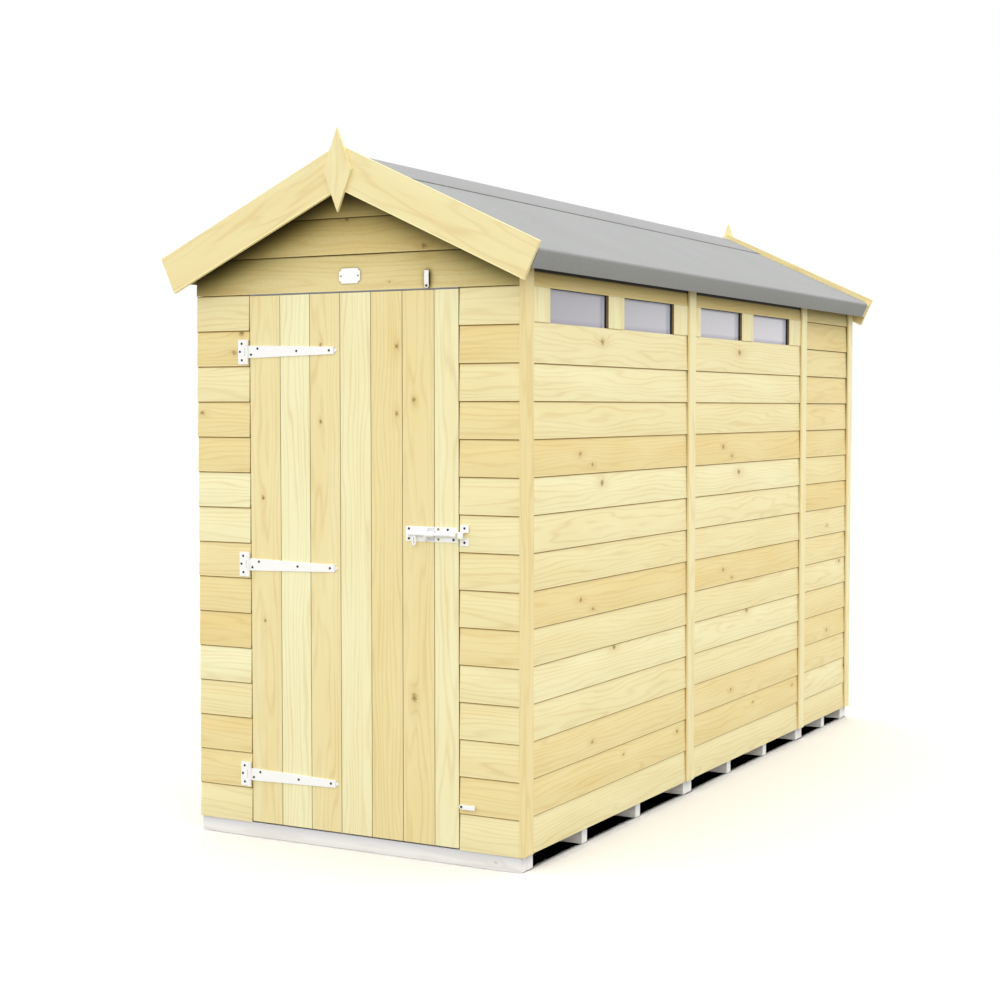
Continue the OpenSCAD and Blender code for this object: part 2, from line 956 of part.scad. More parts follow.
// Keep on the front wall: a raised loop that the rod enters, on two flat feet
module bolt_keep() {
    back = seat_depth(bolt_z - keep_half_h, bolt_z + keep_half_h);
    outer = keep_half + guide_wall;
    rise = rod_y - rod_r - keep_gap;
    color(enamel)
        on_base()
            translate([doorway_end + keep_inset, 0, bolt_z])
                rotate([90, 0, 90]) {
                    linear_extrude(keep_loop_l)
                        polygon([
                            [back, -outer], [back, -keep_half], [rise, -keep_half],
                            [rise, keep_half], [back, keep_half], [back, outer],
                            [rise - guide_wall, outer], [rise - guide_wall, -outer]
                        ]);
                    linear_extrude(keep_l)
                        for (z = [-keep_half_h, keep_half])
                            translate([back - guide_wall, z])
                                square([guide_wall, guide_wall + keep_foot_h]);
                }
}

// Round spacer between the wall and a turn button
module button_spacer(x, z) {
    back = seat_depth(z - spacer_r, z + spacer_r);
    front = -button_lift + spacer_gap;
    translate([x, back, z])
        rotate([90, 0, 0])
            cylinder(r = spacer_r, h = back - front);
}

module button_spacers() {
    color(enamel)
        on_base() {
            button_spacer(top_button_x, top_button_z);
            button_spacer(lower_button_x, lower_button_z);
        }
}

// Turn button that points up from its pivot
module turn_button() {
    rotate([90, 0, 0])
        linear_extrude(button_t) {
            circle(d = button_w);
            translate([-button_w / 2, 0])
                square([button_w, button_reach]);
        }
}

module top_button() {
    color(enamel)
        on_base()
            translate([top_button_x, -button_lift, top_button_z])
                turn_button();
}

module lower_button() {
    color(enamel)
        on_base()
            translate([lower_button_x, -button_lift, lower_button_z])
                rotate([0, 90, 0])
                    turn_button();
}

bearers();
front_floor();
middle_floor();
rear_floor();
front_left_wall();
front_right_wall();
front_gable();
front_studs();
rear_wall();
rear_studs();
gable_rails();
gable_rafters();
right_front_wall();
right_middle_wall();
right_rear_wall();
left_front_wall();
left_middle_wall();
left_rear_wall();
window_posts();
window_heads();
window_panes();
right_studs();
right_rails();
left_studs();
left_rails();
corner_trims();
cover_strips();
left_roof();
right_roof();
eaves_rails();
purlins();
left_felt();
right_felt();
ridge_cap();
front_left_barge();
front_right_barge();
rear_left_barge();
rear_right_barge();
front_finial();
rear_finial();
hinge_plates();
bolt_keep();
button_spacers();
door_leaf();
door_ledges();
door_braces();
hinge_straps();
bolt_plate();
bolt_rod();
top_button();
lower_button();
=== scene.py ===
"""Looks of an overlap-board garden shed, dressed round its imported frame.

Lengths are metres in the frame's own axes: the door gable faces -Y, the windowed side faces +X and up is +Z.
A new surface is a stack of rings, and each ring is one closed outline. A wooden piece also carries the way
its grain runs, so that every board shows a figure of its own.
"""
import enum
import logging
import math
from dataclasses import dataclass, replace

import bpy
import numpy as np
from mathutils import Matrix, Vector


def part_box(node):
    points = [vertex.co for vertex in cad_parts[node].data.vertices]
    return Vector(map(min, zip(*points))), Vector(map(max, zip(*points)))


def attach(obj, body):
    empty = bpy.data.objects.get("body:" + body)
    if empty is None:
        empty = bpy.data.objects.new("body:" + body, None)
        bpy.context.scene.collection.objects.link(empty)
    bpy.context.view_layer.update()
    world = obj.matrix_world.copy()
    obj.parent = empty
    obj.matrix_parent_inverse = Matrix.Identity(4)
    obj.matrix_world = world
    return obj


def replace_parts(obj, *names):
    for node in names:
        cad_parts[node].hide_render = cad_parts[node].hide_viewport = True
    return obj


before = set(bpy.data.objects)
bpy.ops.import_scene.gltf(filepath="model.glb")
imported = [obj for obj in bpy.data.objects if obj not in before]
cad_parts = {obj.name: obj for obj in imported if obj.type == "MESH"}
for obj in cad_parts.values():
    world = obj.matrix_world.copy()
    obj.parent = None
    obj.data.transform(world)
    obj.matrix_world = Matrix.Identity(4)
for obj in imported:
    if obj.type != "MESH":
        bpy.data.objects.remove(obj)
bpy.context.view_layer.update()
LOG = logging.getLogger("garden_shed")
MM = 0.001

Pair = tuple[float, float]
Triple = tuple[float, float, float]
Array = np.ndarray
Piece = bpy.types.Object
Tree = bpy.types.NodeTree
Node = bpy.types.Node
# What feeds a node's input: another node's output, or a value
Feed = Node | bpy.types.NodeSocket | float | Triple

# Sizes that several pieces share
ROOF_PITCH = math.radians(25)
ROOF_T = 12 * MM
FELT_T = 3 * MM
LAYER_GAP = 0.2 * MM
FRONT_COURSES = 15
BOARD_LEAN = 4 * MM
BARGE_DEPTH = 122 * MM
BARGE_RISE = 21 * MM
FELT_N = ROOF_T + LAYER_GAP + FELT_T
BARGE_FOOT = FELT_N + BARGE_RISE - BARGE_DEPTH
# Half of the open joint between two boards of a floor or roof
HALF_JOINT = 0.3 * MM
# Share of a bar's eased edges that its ends get
END_EASE = 0.8
# Corners that stay sharp, and the least distance between two of them
SHARP_R = 0.001 * MM
HAIR = 0.01 * MM
# Eased edges, from those of worn timber down to those of thin trim
WORN_EDGE = 1.2 * MM
EASED_EDGE = 0.8 * MM
SOFT_EDGE = 0.6 * MM
CUT_EDGE = 0.5 * MM
SHEET_EDGE = 0.4 * MM
TRIM_EDGE = 0.3 * MM
# Edges that turn by more than this stay sharp
SHARP_ANGLE = math.radians(32)


# Places and outlines

@dataclass(frozen=True)
class Place:
    """A corner with three square directions, in which a piece is drawn.

    Attributes:
        origin: The corner, in the frame.
        along: Direction of the first local number, the one that a profile is carried along.
        across: Direction of the second local number.
        out: Direction of the third local number.
    """

    origin: Triple
    along: Triple
    across: Triple
    out: Triple

    def axes(self) -> Array:
        """The three directions as the rows of a matrix."""
        return np.array([self.along, self.across, self.out], float)

    def world(self, local: Array) -> Array:
        """Points in the frame: the corner plus each local number times its direction."""
        return np.array(self.origin) + np.asarray(local, float) @ self.axes()

    def local(self, world: Array) -> Array:
        """Local numbers of points in the frame: their offset from the corner along each direction."""
        return (np.asarray(world, float) - np.array(self.origin)) @ self.axes().T

    def moved(self, along: float = 0.0, across: float = 0.0, out: float = 0.0) -> "Place":
        """The same directions from a corner that is moved by local numbers."""
        return replace(self, origin=tuple(self.world(np.array([along, across, out]))))

    def mirrored(self) -> bool:
        """Whether the directions are left-handed, so that faces have to be turned round."""
        return bool(np.linalg.det(self.axes()) < 0)


X, Y, Z = (1, 0, 0), (0, 1, 0), (0, 0, 1)
BACK_X, BACK_Y = (-1, 0, 0), (0, -1, 0)
ORIGIN = (0.0, 0.0, 0.0)


class Facing(enum.Enum):
    """Walls by the way they face: the directions along the boards, up and out."""

    FRONT = (X, Z, BACK_Y)
    RIGHT = (Y, Z, X)
    REAR = (BACK_X, Z, Y)
    LEFT = (BACK_Y, Z, BACK_X)

    def place(self) -> Place:
        """The wall's directions from the frame's origin."""
        return Place(ORIGIN, *self.value)


class Side(enum.Enum):
    """Roof slopes by their side: the sign of x down the slope."""

    RIGHT = 1
    LEFT = -1


class Grain(enum.Enum):
    """Which local numbers run along the grain, across it and through the board."""

    ALONG = (0, 1, 2)
    ACROSS = (1, 2, 0)
    OUT = (2, 1, 0)
    DOWN = (1, 0, 2)


def between(span: Pair, share: float) -> float:
    """Number at a share of the way along a span."""
    return span[0] + share * (span[1] - span[0])


def rounded(corners: list[Pair] | Array, radius: float | list[float], steps: int = 3) -> Array:
    """Outline with eased corners.

    Each corner c becomes the curve (1-t)^2 a + 2t(1-t) c + t^2 b between points a and b on its two edges.

    Args:
        corners: Corners in counter-clockwise order.
        radius: Distance from a corner to a and b, one for all or one for each corner.
        steps: Straight pieces of a curve.

    Returns:
        The outline's points, one row each.
    """
    corner = np.asarray(corners, float)
    back = np.roll(corner, 1, axis=0) - corner
    ahead = np.roll(corner, -1, axis=0) - corner
    reach = np.broadcast_to(radius, len(corner))[:, None]
    a = (corner + back / np.linalg.norm(back, axis=1, keepdims=True) * reach)[:, None]
    b = (corner + ahead / np.linalg.norm(ahead, axis=1, keepdims=True) * reach)[:, None]
    t = np.linspace(0, 1, steps + 1)[None, :, None]
    return ((1 - t) ** 2 * a + 2 * t * (1 - t) * corner[:, None] + t ** 2 * b).reshape(-1, 2)


def box_outline(low: Pair, high: Pair, radius: float | list[float]) -> Array:
    """Rectangle between two corners with eased corners, from the lower left one on."""
    return rounded([low, (high[0], low[1]), high, (low[0], high[1])], radius)


def inset(outline: Array, depth: float) -> Array:
    """Outline drawn in.

    Each point goes in along the mitre of its two edges' normals, (n1 + n2) / (1 + n1.n2) times the depth.

    Args:
        outline: Points in counter-clockwise order.
        depth: How far the edges go in.

    Returns:
        The points of the smaller outline.
    """
    edge = np.roll(outline, -1, axis=0) - outline
    edge = edge / np.linalg.norm(edge, axis=1, keepdims=True)
    normal = np.stack([edge[:, 1], -edge[:, 0]], axis=1)
    before = np.roll(normal, 1, axis=0)
    return outline - depth * (normal + before) / (1 + np.sum(normal * before, axis=1, keepdims=True))


def prism(outline: Array, start: float | Array, end: float | Array, bevel: float) -> Array:
    """Rings of a bar: an outline carried straight from start to end and drawn in by the bevel at both ends.

    Args:
        outline: Points across and out, counter-clockwise.
        start: Where the bar starts, one number or one for each point where the end is cut at an angle.
        end: Where it ends, likewise.
        bevel: Size of the eased end edges.

    Returns:
        Four rings of points.
    """
    first = np.broadcast_to(start, len(outline))
    last = np.broadcast_to(end, len(outline))
    drawn_in = inset(outline, bevel)
    stations = np.stack([first, first + bevel, last - bevel, last])
    return np.dstack([stations, np.stack([drawn_in, outline, outline, drawn_in])])


def lathe(radii: list[float] | Array, heights: list[float] | Array, sides: int = 20) -> Array:
    """Rings of a turned piece: circles r (cos a, sin a) at each height along its axis.

    Args:
        radii: Radius of each ring.
        heights: Height of each ring.
        sides: Points of a ring.

    Returns:
        One ring of points for each radius.
    """
    turn = np.linspace(0, 2 * math.pi, sides, endpoint=False)
    radius, height = np.array(radii)[:, None], np.array(heights)[:, None]
    return np.dstack([height + 0 * turn, radius * np.cos(turn), radius * np.sin(turn)])


def hoop(half_w: float, half_h: float, wire_r: float, turns: int = 28, sides: int = 12) -> Array:
    """Rings of a closed wire loop.

    A circle of wire_r is carried round the ellipse (half_w sin t, -half_h cos t).

    Args:
        half_w: Half width of the wire's centreline.
        half_h: Half height of the wire's centreline.
        wire_r: Radius of the wire.
        turns: Rings round the loop.
        sides: Points round the wire.

    Returns:
        Rings whose last one joins the first.
    """
    t = np.linspace(0, 2 * math.pi, turns, endpoint=False)[:, None]
    a = np.linspace(0, 2 * math.pi, sides, endpoint=False)[None, :]
    normal = np.stack([np.sin(t) / half_w, -np.cos(t) / half_h], axis=-1)
    normal = normal / np.linalg.norm(normal, axis=-1, keepdims=True)
    centre = np.stack([half_w * np.sin(t), -half_h * np.cos(t)], axis=-1)
    flat = centre + wire_r * np.cos(a)[..., None] * normal
    return np.dstack([flat, np.broadcast_to(wire_r * np.sin(a), flat.shape[:2])])


# Wood and meshes

@dataclass(frozen=True)
class Wood:
    """One board's own wood.

    Attributes:
        tone: 0 for pale sapwood to 1 for tan heartwood.
        heart: Where the log's heart lies, across the board and through it.
        shift: Distance along the log at which the board was cut.
        knots: Up to two knots: along the board, across it, radius.
    """

    tone: float
    heart: Pair
    shift: float
    knots: tuple[Triple, ...] = ()


@dataclass
class Stock:
    """The stack of boards that the shed is built from, drawn by a seeded hand.

    Attributes:
        seed: Seed of the draw.
        knot_share: Share of the boards with no named tone or knots that get a knot.
        knot_across: Where that knot may lie, in shares of the board's width.
        knot_r: Its smallest and largest radius.
        tones: Tones that a board with no named tone may have.
        heart_across: Where the log's heart may lie, in shares of the board's width.
        heart_d: How deep it may lie behind the board's face.
        log_l: Length of log that the boards are cut from.
    """

    seed: int
    knot_share: float = 0.45
    knot_across: Pair = (0.2, 0.8)
    knot_r: Pair = (5 * MM, 10 * MM)
    tones: Pair = (0.1, 0.75)
    heart_across: Pair = (-0.5, 1.5)
    heart_d: Pair = (25 * MM, 75 * MM)
    log_l: float = 40.0

    def __post_init__(self) -> None:
        """Starts the draw."""
        self.rng = np.random.default_rng(self.seed)

    def pick(
        self, width: float, span: Pair, tone: float | None = None, knots: tuple[Triple, ...] = (),
    ) -> Wood:
        """Picks the next board.

        Args:
            width: The board's width.
            span: Where it starts and ends along its grain.
            tone: Its tone, or None for any.
            knots: Its named knots, along and across it.

        Returns:
            The board's wood.
        """
        drawn = self.rng.uniform(size=6)
        if not knots and tone is None and drawn[4] < self.knot_share:
            across = width * between(self.knot_across, drawn[1])
            knots = ((between(span, drawn[5]), across, between(self.knot_r, drawn[0])),)
        heart = (width * between(self.heart_across, drawn[1]), -between(self.heart_d, drawn[2]))
        shown = between(self.tones, drawn[0]) if tone is None else tone
        return Wood(shown, heart, self.log_l * drawn[3], knots[:2])


# Stands for a knot on boards that have fewer than two
FAR_KNOT = (-90.0, 0.0, MM)


class Shape:
    """A mesh in the making: closed surfaces, with the wood of each board on its points."""

    def __init__(self) -> None:
        """Starts empty."""
        self.points: list[Array] = []
        self.faces: list[list[int]] = []
        self.fields: dict[str, list[Array]] = {"grain": [], "stock": [], "knot_a": [], "knot_b": []}
        self.count = 0

    def add(
        self, rings: Array, place: Place, wood: Wood | None = None, grain: Grain = Grain.ALONG,
        looped: bool = False,
    ) -> None:
        """Adds one closed surface: quads between neighbouring rings and a flat face on each end.

        Args:
            rings: Rings of local points, each ring counter-clockwise as seen from the far end.
            place: Where the local numbers point.
            wood: The board's wood, for wooden pieces.
            grain: Which local numbers follow the grain.
            looped: Whether the last ring joins the first one.
        """
        index = self.count + np.arange(rings.shape[0] * rings.shape[1]).reshape(rings.shape[:2])
        ahead = np.roll(index, -1, axis=1)
        rows = slice(None) if looped else slice(0, -1)
        after, after_ahead = np.roll(index, -1, axis=0)[rows], np.roll(ahead, -1, axis=0)[rows]
        faces = np.stack([index[rows], ahead[rows], after_ahead, after], axis=-1).reshape(-1, 4).tolist()
        if not looped:
            faces += [index[0, ::-1].tolist(), index[-1].tolist()]
        self.faces += [face[::-1] for face in faces] if place.mirrored() else faces
        local = rings.reshape(-1, 3)
        self.points.append(place.world(local))
        self.count += len(local)
        if wood:
            self.mark(local[:, grain.value], wood)

    def mark(self, grain: Array, wood: Wood) -> None:
        """Keeps a board's wood on its points.

        Args:
            grain: Points along, across and through the board.
            wood: The board's wood.
        """
        shifted = np.array([wood.shift, 0, 0])
        knots = [np.array(knot) + shifted for knot in wood.knots] + [np.array(FAR_KNOT)] * 2
        rows = {"stock": (wood.tone, *wood.heart), "knot_a": knots[0], "knot_b": knots[1]}
        self.fields["grain"].append(grain + shifted)
        for name, row in rows.items():
            self.fields[name].append(np.broadcast_to(row, grain.shape))

    def piece(self, name: str, finish: "Finish", body: str, slot: str, *nodes: str) -> Piece:
        """Makes the finished piece.

        Args:
            name: Name of the piece.
            finish: Its finish.
            body: The body that it rides on.
            slot: The record's material slot; not used.
            *nodes: The frame's nodes that it stands for.

        Returns:
            The piece, smooth but for its sharp edges.
        """
        mesh = bpy.data.meshes.new(name)
        mesh.from_pydata(np.concatenate(self.points).tolist(), [], self.faces)
        for field, rows in self.fields.items():
            if rows:
                layer = mesh.attributes.new(field, "FLOAT_VECTOR", "POINT")
                layer.data.foreach_set("vector", np.concatenate(rows).ravel().astype(np.float32))
        mesh.shade_smooth()
        mesh.set_sharp_from_angle(angle=SHARP_ANGLE)
        mesh.materials.append(finish.material())
        piece = bpy.data.objects.new(name, mesh)
        bpy.context.scene.collection.objects.link(piece)
        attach(piece, body)
        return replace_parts(piece, *nodes) if nodes else piece


def solids(node: str) -> list[tuple[Array, Array]]:
    """Boxes of the separate solids of a node.

    Points less than a hair apart count as one, and every group of joined triangles takes its lowest point
    number until nothing changes.

    Args:
        node: Name of the node.

    Returns:
        The lowest and highest corner of each solid, from the lowest y and z up.
    """
    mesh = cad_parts[node].data
    mesh.calc_loop_triangles()
    points = np.empty(len(mesh.vertices) * 3, np.float32)
    mesh.vertices.foreach_get("co", points)
    corners = np.empty(len(mesh.loop_triangles) * 3, np.int32)
    mesh.loop_triangles.foreach_get("vertices", corners)
    points = points.reshape(-1, 3).astype(float)
    places, number = np.unique(np.round(points / HAIR), axis=0, return_inverse=True)
    triangles = number.ravel()[corners].reshape(-1, 3)
    group, settled = np.arange(len(places)), False
    while not settled:
        lowest = group.copy()
        np.minimum.at(lowest, triangles.ravel(), np.repeat(group[triangles].min(axis=1), 3))
        settled = bool((lowest == group).all())
        group = lowest
    owner = group[number.ravel()]
    boxes = [(points[owner == g].min(axis=0), points[owner == g].max(axis=0)) for g in np.unique(owner)]
    return sorted(boxes, key=lambda box: (round(box[0][1], 3), round(box[0][2], 3)))


def add_bar(
    shape: Shape, low: Array, high: Array, ease: float, stock: Stock | None = None,
    tone: float | None = None, axis: int | None = None,
) -> None:
    """Adds a straight bar between two corners, with its grain along its longest side.

    Args:
        shape: Its mesh.
        low: The lowest corner.
        high: The highest corner.
        ease: Size of the eased edges.
        stock: The boards to pick from, or None for a bar that isn't wood.
        tone: Tone of the wood, or None for any.
        axis: The axis that the grain follows, or None for the longest.
    """
    size = np.asarray(high) - np.asarray(low)
    along = int(np.argmax(size)) if axis is None else axis
    across, out = sorted((i for i in range(3) if i != along), key=lambda i: -size[i])
    place = Place(tuple(low), *np.eye(3)[[along, across, out]].tolist())
    wood = stock.pick(size[across], (0, size[along]), tone) if stock else None
    outline = box_outline((0, 0), (size[across], size[out]), ease)
    shape.add(prism(outline, 0, size[along], ease * END_EASE), place, wood)


# Finishes

def linear(colour: str) -> tuple[float, float, float, float]:
    """Linear colour of an sRGB hex value: ((c + 0.055) / 1.055) ** 2.4, or c / 12.92 near black."""
    srgb = np.array([int(colour[i:i + 2], 16) for i in (1, 3, 5)]) / 255
    return (*np.where(srgb > 0.04045, ((srgb + 0.055) / 1.055) ** 2.4, srgb / 12.92).tolist(), 1.0)


def per_size(*sizes_mm: float) -> tuple[float, ...]:
    """Pattern scale for each axis from its size in millimetres."""
    return tuple(1 / (size * MM) for size in sizes_mm)


def add(tree: Tree, kind: str, feeds: dict | None = None, **settings: object) -> Node:
    """Adds a node with its settings and links.

    Args:
        tree: The node tree.
        kind: The node's type, without its ShaderNode prefix.
        feeds: What feeds each input: a node's first output, an output, or a value.
        **settings: The node's own settings.

    Returns:
        The node.
    """
    node = tree.nodes.new("ShaderNode" + kind)
    for name, value in settings.items():
        setattr(node, name, value)
    for name, value in (feeds or {}).items():
        if isinstance(value, Node):
            value = value.outputs[0]
        if isinstance(value, bpy.types.NodeSocket):
            tree.links.new(value, node.inputs[name])
        else:
            node.inputs[name].default_value = value
    return node


class Finish:
    """A finish that becomes one material."""

    name: str

    def surface(self, tree: Tree) -> Node:
        """The shader of the finish."""
        raise NotImplementedError

    def material(self) -> bpy.types.Material:
        """Makes the material at its first use.

        Returns:
            The material.
        """
        found = bpy.data.materials.get(self.name)
        if found:
            return found
        made = bpy.data.materials.new(self.name)
        made.use_nodes = True
        made.node_tree.nodes.clear()
        add(made.node_tree, "OutputMaterial", {"Surface": self.surface(made.node_tree)})
        return made


# Noises of the wood: size in millimetres along, across and through a board, detail and roughness
WANDER = ((620, 75, 75), 2.0, 0.45)
FIBRE = ((140, 2.6, 2.6), 2.0, 0.6)
PATCH = ((420, 60, 60), 1.0, 0.5)
# How far the wander moves a growth ring
WANDER_REACH = 80 * MM
# Shares of a knot's distance along, across and through a board that its core and its halo count
KNOT_CORE = (0.8, 1, 0)
KNOT_HALO = (0.22, 0.6, 0)
# How far a knot pushes the rings and how far a noise blurs its edge, in its radii, and that noise's size
KNOT_PUSH = 1.6
KNOT_BLUR = 1.6
BLOT_MM = 9
# Tone and log's heart of a piece that doesn't carry its boards' wood
PLAIN_TONE = 0.5
PLAIN_HEART = (0.0, 0.05, -0.06)
# Tint of the painted corner shade: it turns honey-coloured as it deepens, as light deep between boards would
SHADE_HONEY = (1.0, 0.95, 0.42, 1.0)


@dataclass(frozen=True)
class PineFinish(Finish):
    """Pine boards: cream sapwood to tan heartwood, with growth rings cut at a slant and soft brown knots.

    The rings are circles round the log's heart, drawn several times coarser than real ones so that they show.
    They wander along the board and bend round its knots. Under the roof, painted shade darkens the wood the
    nearer other wood is. A board's edges get a painted highlight and painted shade.

    Attributes:
        name: Name of the material.
        pale: Colour of sapwood.
        tan: Colour of heartwood.
        line: Colour of the late wood of a ring.
        knot: Colour of a knot's middle.
        ring_mm: Spacing of the rings.
        line_strength: How much of the line colour a ring shows.
        rough: Roughness.
        bump_mm: Depth of the grain.
        placed: Whether the piece carries its boards' wood, or the grain follows Y in the frame.
        swing: How far soft patches move the tone from end to end.
        edge_highlight: How much of a painted highlight a board's lower edge shows.
        edge_highlight_span: Where that painted highlight starts and is full, across the board.
        highlight_colour: Colour of that painted highlight.
        top_shade: Colour of the painted shade along a board's top, under what overhangs it, or none.
        top_shade_span: Where that painted shade starts and is full, across the board.
        side: Colour of the painted shade on the sides of a board, or none.
        side_shade_span: Where that painted shade starts and ends, through the board.
        side_shade_share: How much of it shows.
        shade: Colour of the painted shade deep in a corner under the roof, or none.
        shade_reach: How near other wood has to be for the painted shade.
        shade_power: How fast the painted shade darkens towards the corner.
        shade_heights: Heights from which the painted shade starts and is full.
    """

    name: str
    pale: str
    tan: str
    line: str
    knot: str
    ring_mm: float
    line_strength: float
    rough: float
    bump_mm: float
    placed: bool = True
    swing: float = 0.44
    # Painted highlight on a board's lower edge, and painted shade along its top, on its sides and in corners
    edge_highlight: float = 0.0
    edge_highlight_span: Pair = (4 * MM, 0.5 * MM)
    highlight_colour: str = "#FFF3B8"
    top_shade: str = ""
    top_shade_span: Pair = (108 * MM, 111.5 * MM)
    side: str = ""
    side_shade_span: Pair = (0.0, 0.0)
    side_shade_share: float = 0.9
    shade: str = ""
    shade_reach: float = 0.35
    shade_power: float = 1.0
    shade_heights: Pair = (1.2, 1.5)

    def surface(self, tree: Tree) -> Node:
        """Colours the rings, the fibre, the knots and the corners, and raises the grain.

        Args:
            tree: The node tree.

        Returns:
            The shader.
        """
        grain, tone, heart = self.coordinates(tree)
        wander, fibre, patch = (
            add(tree, "TexNoise", {
                "Vector": add(tree, "VectorMath", {0: grain, 1: per_size(*sizes)}, operation="MULTIPLY"),
                "Scale": 1.0, "Detail": detail, "Roughness": rough})
            for sizes, detail, rough in (WANDER, FIBRE, PATCH))
        bends, halos, cores = self.knots(tree, grain)
        ring = self.rings(tree, grain, heart, wander, bends)
        tint = add(tree, "Math", {0: patch, 1: self.swing, 2: tone}, operation="MULTIPLY_ADD")
        tint = add(tree, "Math", {0: tint, 1: self.swing / 2}, operation="SUBTRACT", use_clamp=True)
        shown = add(tree, "Math", {0: patch, 1: self.line_strength}, operation="MULTIPLY")
        shown = add(tree, "Math", {0: ring, 1: shown}, operation="MULTIPLY", use_clamp=True)
        shown = add(tree, "Math", {0: halos, 1: 0.3, 2: shown}, operation="MULTIPLY_ADD", use_clamp=True)
        streak = add(tree, "MapRange", {"Value": fibre, "From Min": 0.58, "From Max": 0.8, "To Max": 0.2})
        colour = linear(self.pale)
        for amount, paint in ((tint, self.tan), (shown, self.line), (streak, self.line), (cores, self.knot)):
            colour = add(tree, "Mix", {0: amount, 6: colour, 7: linear(paint)}, data_type="RGBA").outputs[2]
        colour = self.edges(tree, grain, colour)
        # Painted shade on the wood near other surfaces, up under the roof
        if self.shade:
            colour = self.corners(tree, colour)
        height = add(tree, "Math", {0: ring, 1: 0.5, 2: fibre}, operation="MULTIPLY_ADD")
        bump = add(tree, "Bump", {"Height": height, "Distance": self.bump_mm * MM, "Strength": 0.5})
        return add(tree, "BsdfPrincipled", {
            "Base Color": colour, "Roughness": self.rough, "Normal": bump, "Specular IOR Level": 0.3})

    def edges(self, tree: Tree, grain: Feed, colour: Feed) -> Feed:
        """Paints a highlight on the lower edge of a board, and painted shade along its top and on its sides.

        Args:
            tree: The node tree.
            grain: The point in its board.
            colour: The colour so far.

        Returns:
            The colour with its edges.
        """
        spot = add(tree, "SeparateXYZ", {0: grain}).outputs
        layers = []
        # A painted highlight on the lower edge, then painted shade along the top
        rims = ((self.highlight_colour, self.edge_highlight_span, self.edge_highlight), (self.top_shade, self.top_shade_span, 1.0))
        for paint, (start, end), most in rims:
            if paint and most:
                span = {"Value": spot[1], "From Min": start, "From Max": end, "To Max": most}
                layers.append((add(tree, "MapRange", span), paint))
        # Painted shade on the sides of a board
        if self.side:
            top, foot = self.side_shade_span
            middle = {0: spot[2], 1: (top + foot) / 2, 2: (top - foot) / 2}
            amount = add(tree, "Math", middle, operation="COMPARE")
            amount = add(tree, "Math", {0: amount, 1: self.side_shade_share}, operation="MULTIPLY")
            layers.append((amount, self.side))
        for amount, paint in layers:
            colour = add(tree, "Mix", {0: amount, 6: colour, 7: linear(paint)}, data_type="RGBA").outputs[2]
        return colour

    def corners(self, tree: Tree, colour: Feed) -> Feed:
        """Paints shade on the wood near other surfaces, up under the roof.

        Args:
            tree: The node tree.
            colour: The colour so far.

        Returns:
            The colour with its painted corner shade, more honey-coloured the darker it is.
        """
        start, full = self.shade_heights
        clear = add(tree, "AmbientOcclusion", {"Distance": self.shade_reach}, samples=8).outputs["AO"]
        clear = add(tree, "Math", {0: clear, 1: self.shade_power}, operation="POWER")
        height = add(tree, "SeparateXYZ", {0: add(tree, "TexCoord").outputs["Object"]}).outputs[2]
        below = add(tree, "MapRange", {"Value": height, "From Min": full, "From Max": start})
        clear = add(tree, "Math", {0: clear, 1: below}, operation="MAXIMUM")
        hidden = add(tree, "Math", {0: 1.0, 1: clear}, operation="SUBTRACT")
        warm = {0: hidden, 6: colour, 7: SHADE_HONEY}
        colour = add(tree, "Mix", warm, data_type="RGBA", blend_type="MULTIPLY").outputs[2]
        return add(tree, "Mix", {0: clear, 6: linear(self.shade), 7: colour}, data_type="RGBA").outputs[2]

    def coordinates(self, tree: Tree) -> tuple[Feed, Feed, Feed]:
        """Finds the grain, the tone and the heart at a point.

        Args:
            tree: The node tree.

        Returns:
            The point along, across and through its board, the tone, and the place of the log's heart.
        """
        if not self.placed:
            spot = add(tree, "SeparateXYZ", {0: add(tree, "TexCoord").outputs["Object"]}).outputs
            grain = add(tree, "CombineXYZ", {0: spot[1], 1: spot[0], 2: spot[2]}).outputs[0]
            return grain, PLAIN_TONE, PLAIN_HEART
        grain, stock = (
            add(tree, "Attribute", attribute_name=name).outputs["Vector"] for name in ("grain", "stock"))
        stock = add(tree, "SeparateXYZ", {0: stock}).outputs
        heart = add(tree, "CombineXYZ", {1: stock[1], 2: stock[2]}).outputs[0]
        return grain, stock[0], heart

    def rings(self, tree: Tree, grain: Feed, heart: Feed, wander: Feed, bends: Feed) -> Feed:
        """Draws the late wood of the growth rings.

        It is (0.5 + 0.5 sin(2 pi r / spacing)) ^ 4, r being the distance from the log's heart.

        Args:
            tree: The node tree.
            grain: The point in its board.
            heart: The log's heart.
            wander: Noise that moves the rings.
            bends: Distance by which the knots push them.

        Returns:
            The node whose value is 1 on a ring's dark line.
        """
        offset = add(tree, "VectorMath", {0: grain, 1: heart}, operation="SUBTRACT")
        offset = add(tree, "VectorMath", {0: offset, 1: (0, 1, 1)}, operation="MULTIPLY")
        radius = add(tree, "VectorMath", {0: offset}, operation="LENGTH").outputs["Value"]
        radius = add(tree, "Math", {0: wander, 1: WANDER_REACH, 2: radius}, operation="MULTIPLY_ADD")
        radius = add(tree, "Math", {0: radius, 1: bends}, operation="ADD")
        turn = add(tree, "Math", {0: radius, 1: 2 * math.pi / (self.ring_mm * MM)}, operation="MULTIPLY")
        wave = add(tree, "Math", {0: turn}, operation="SINE")
        wave = add(tree, "Math", {0: wave, 1: 0.5, 2: 0.5}, operation="MULTIPLY_ADD")
        return add(tree, "Math", {0: wave, 1: 4.0}, operation="POWER")

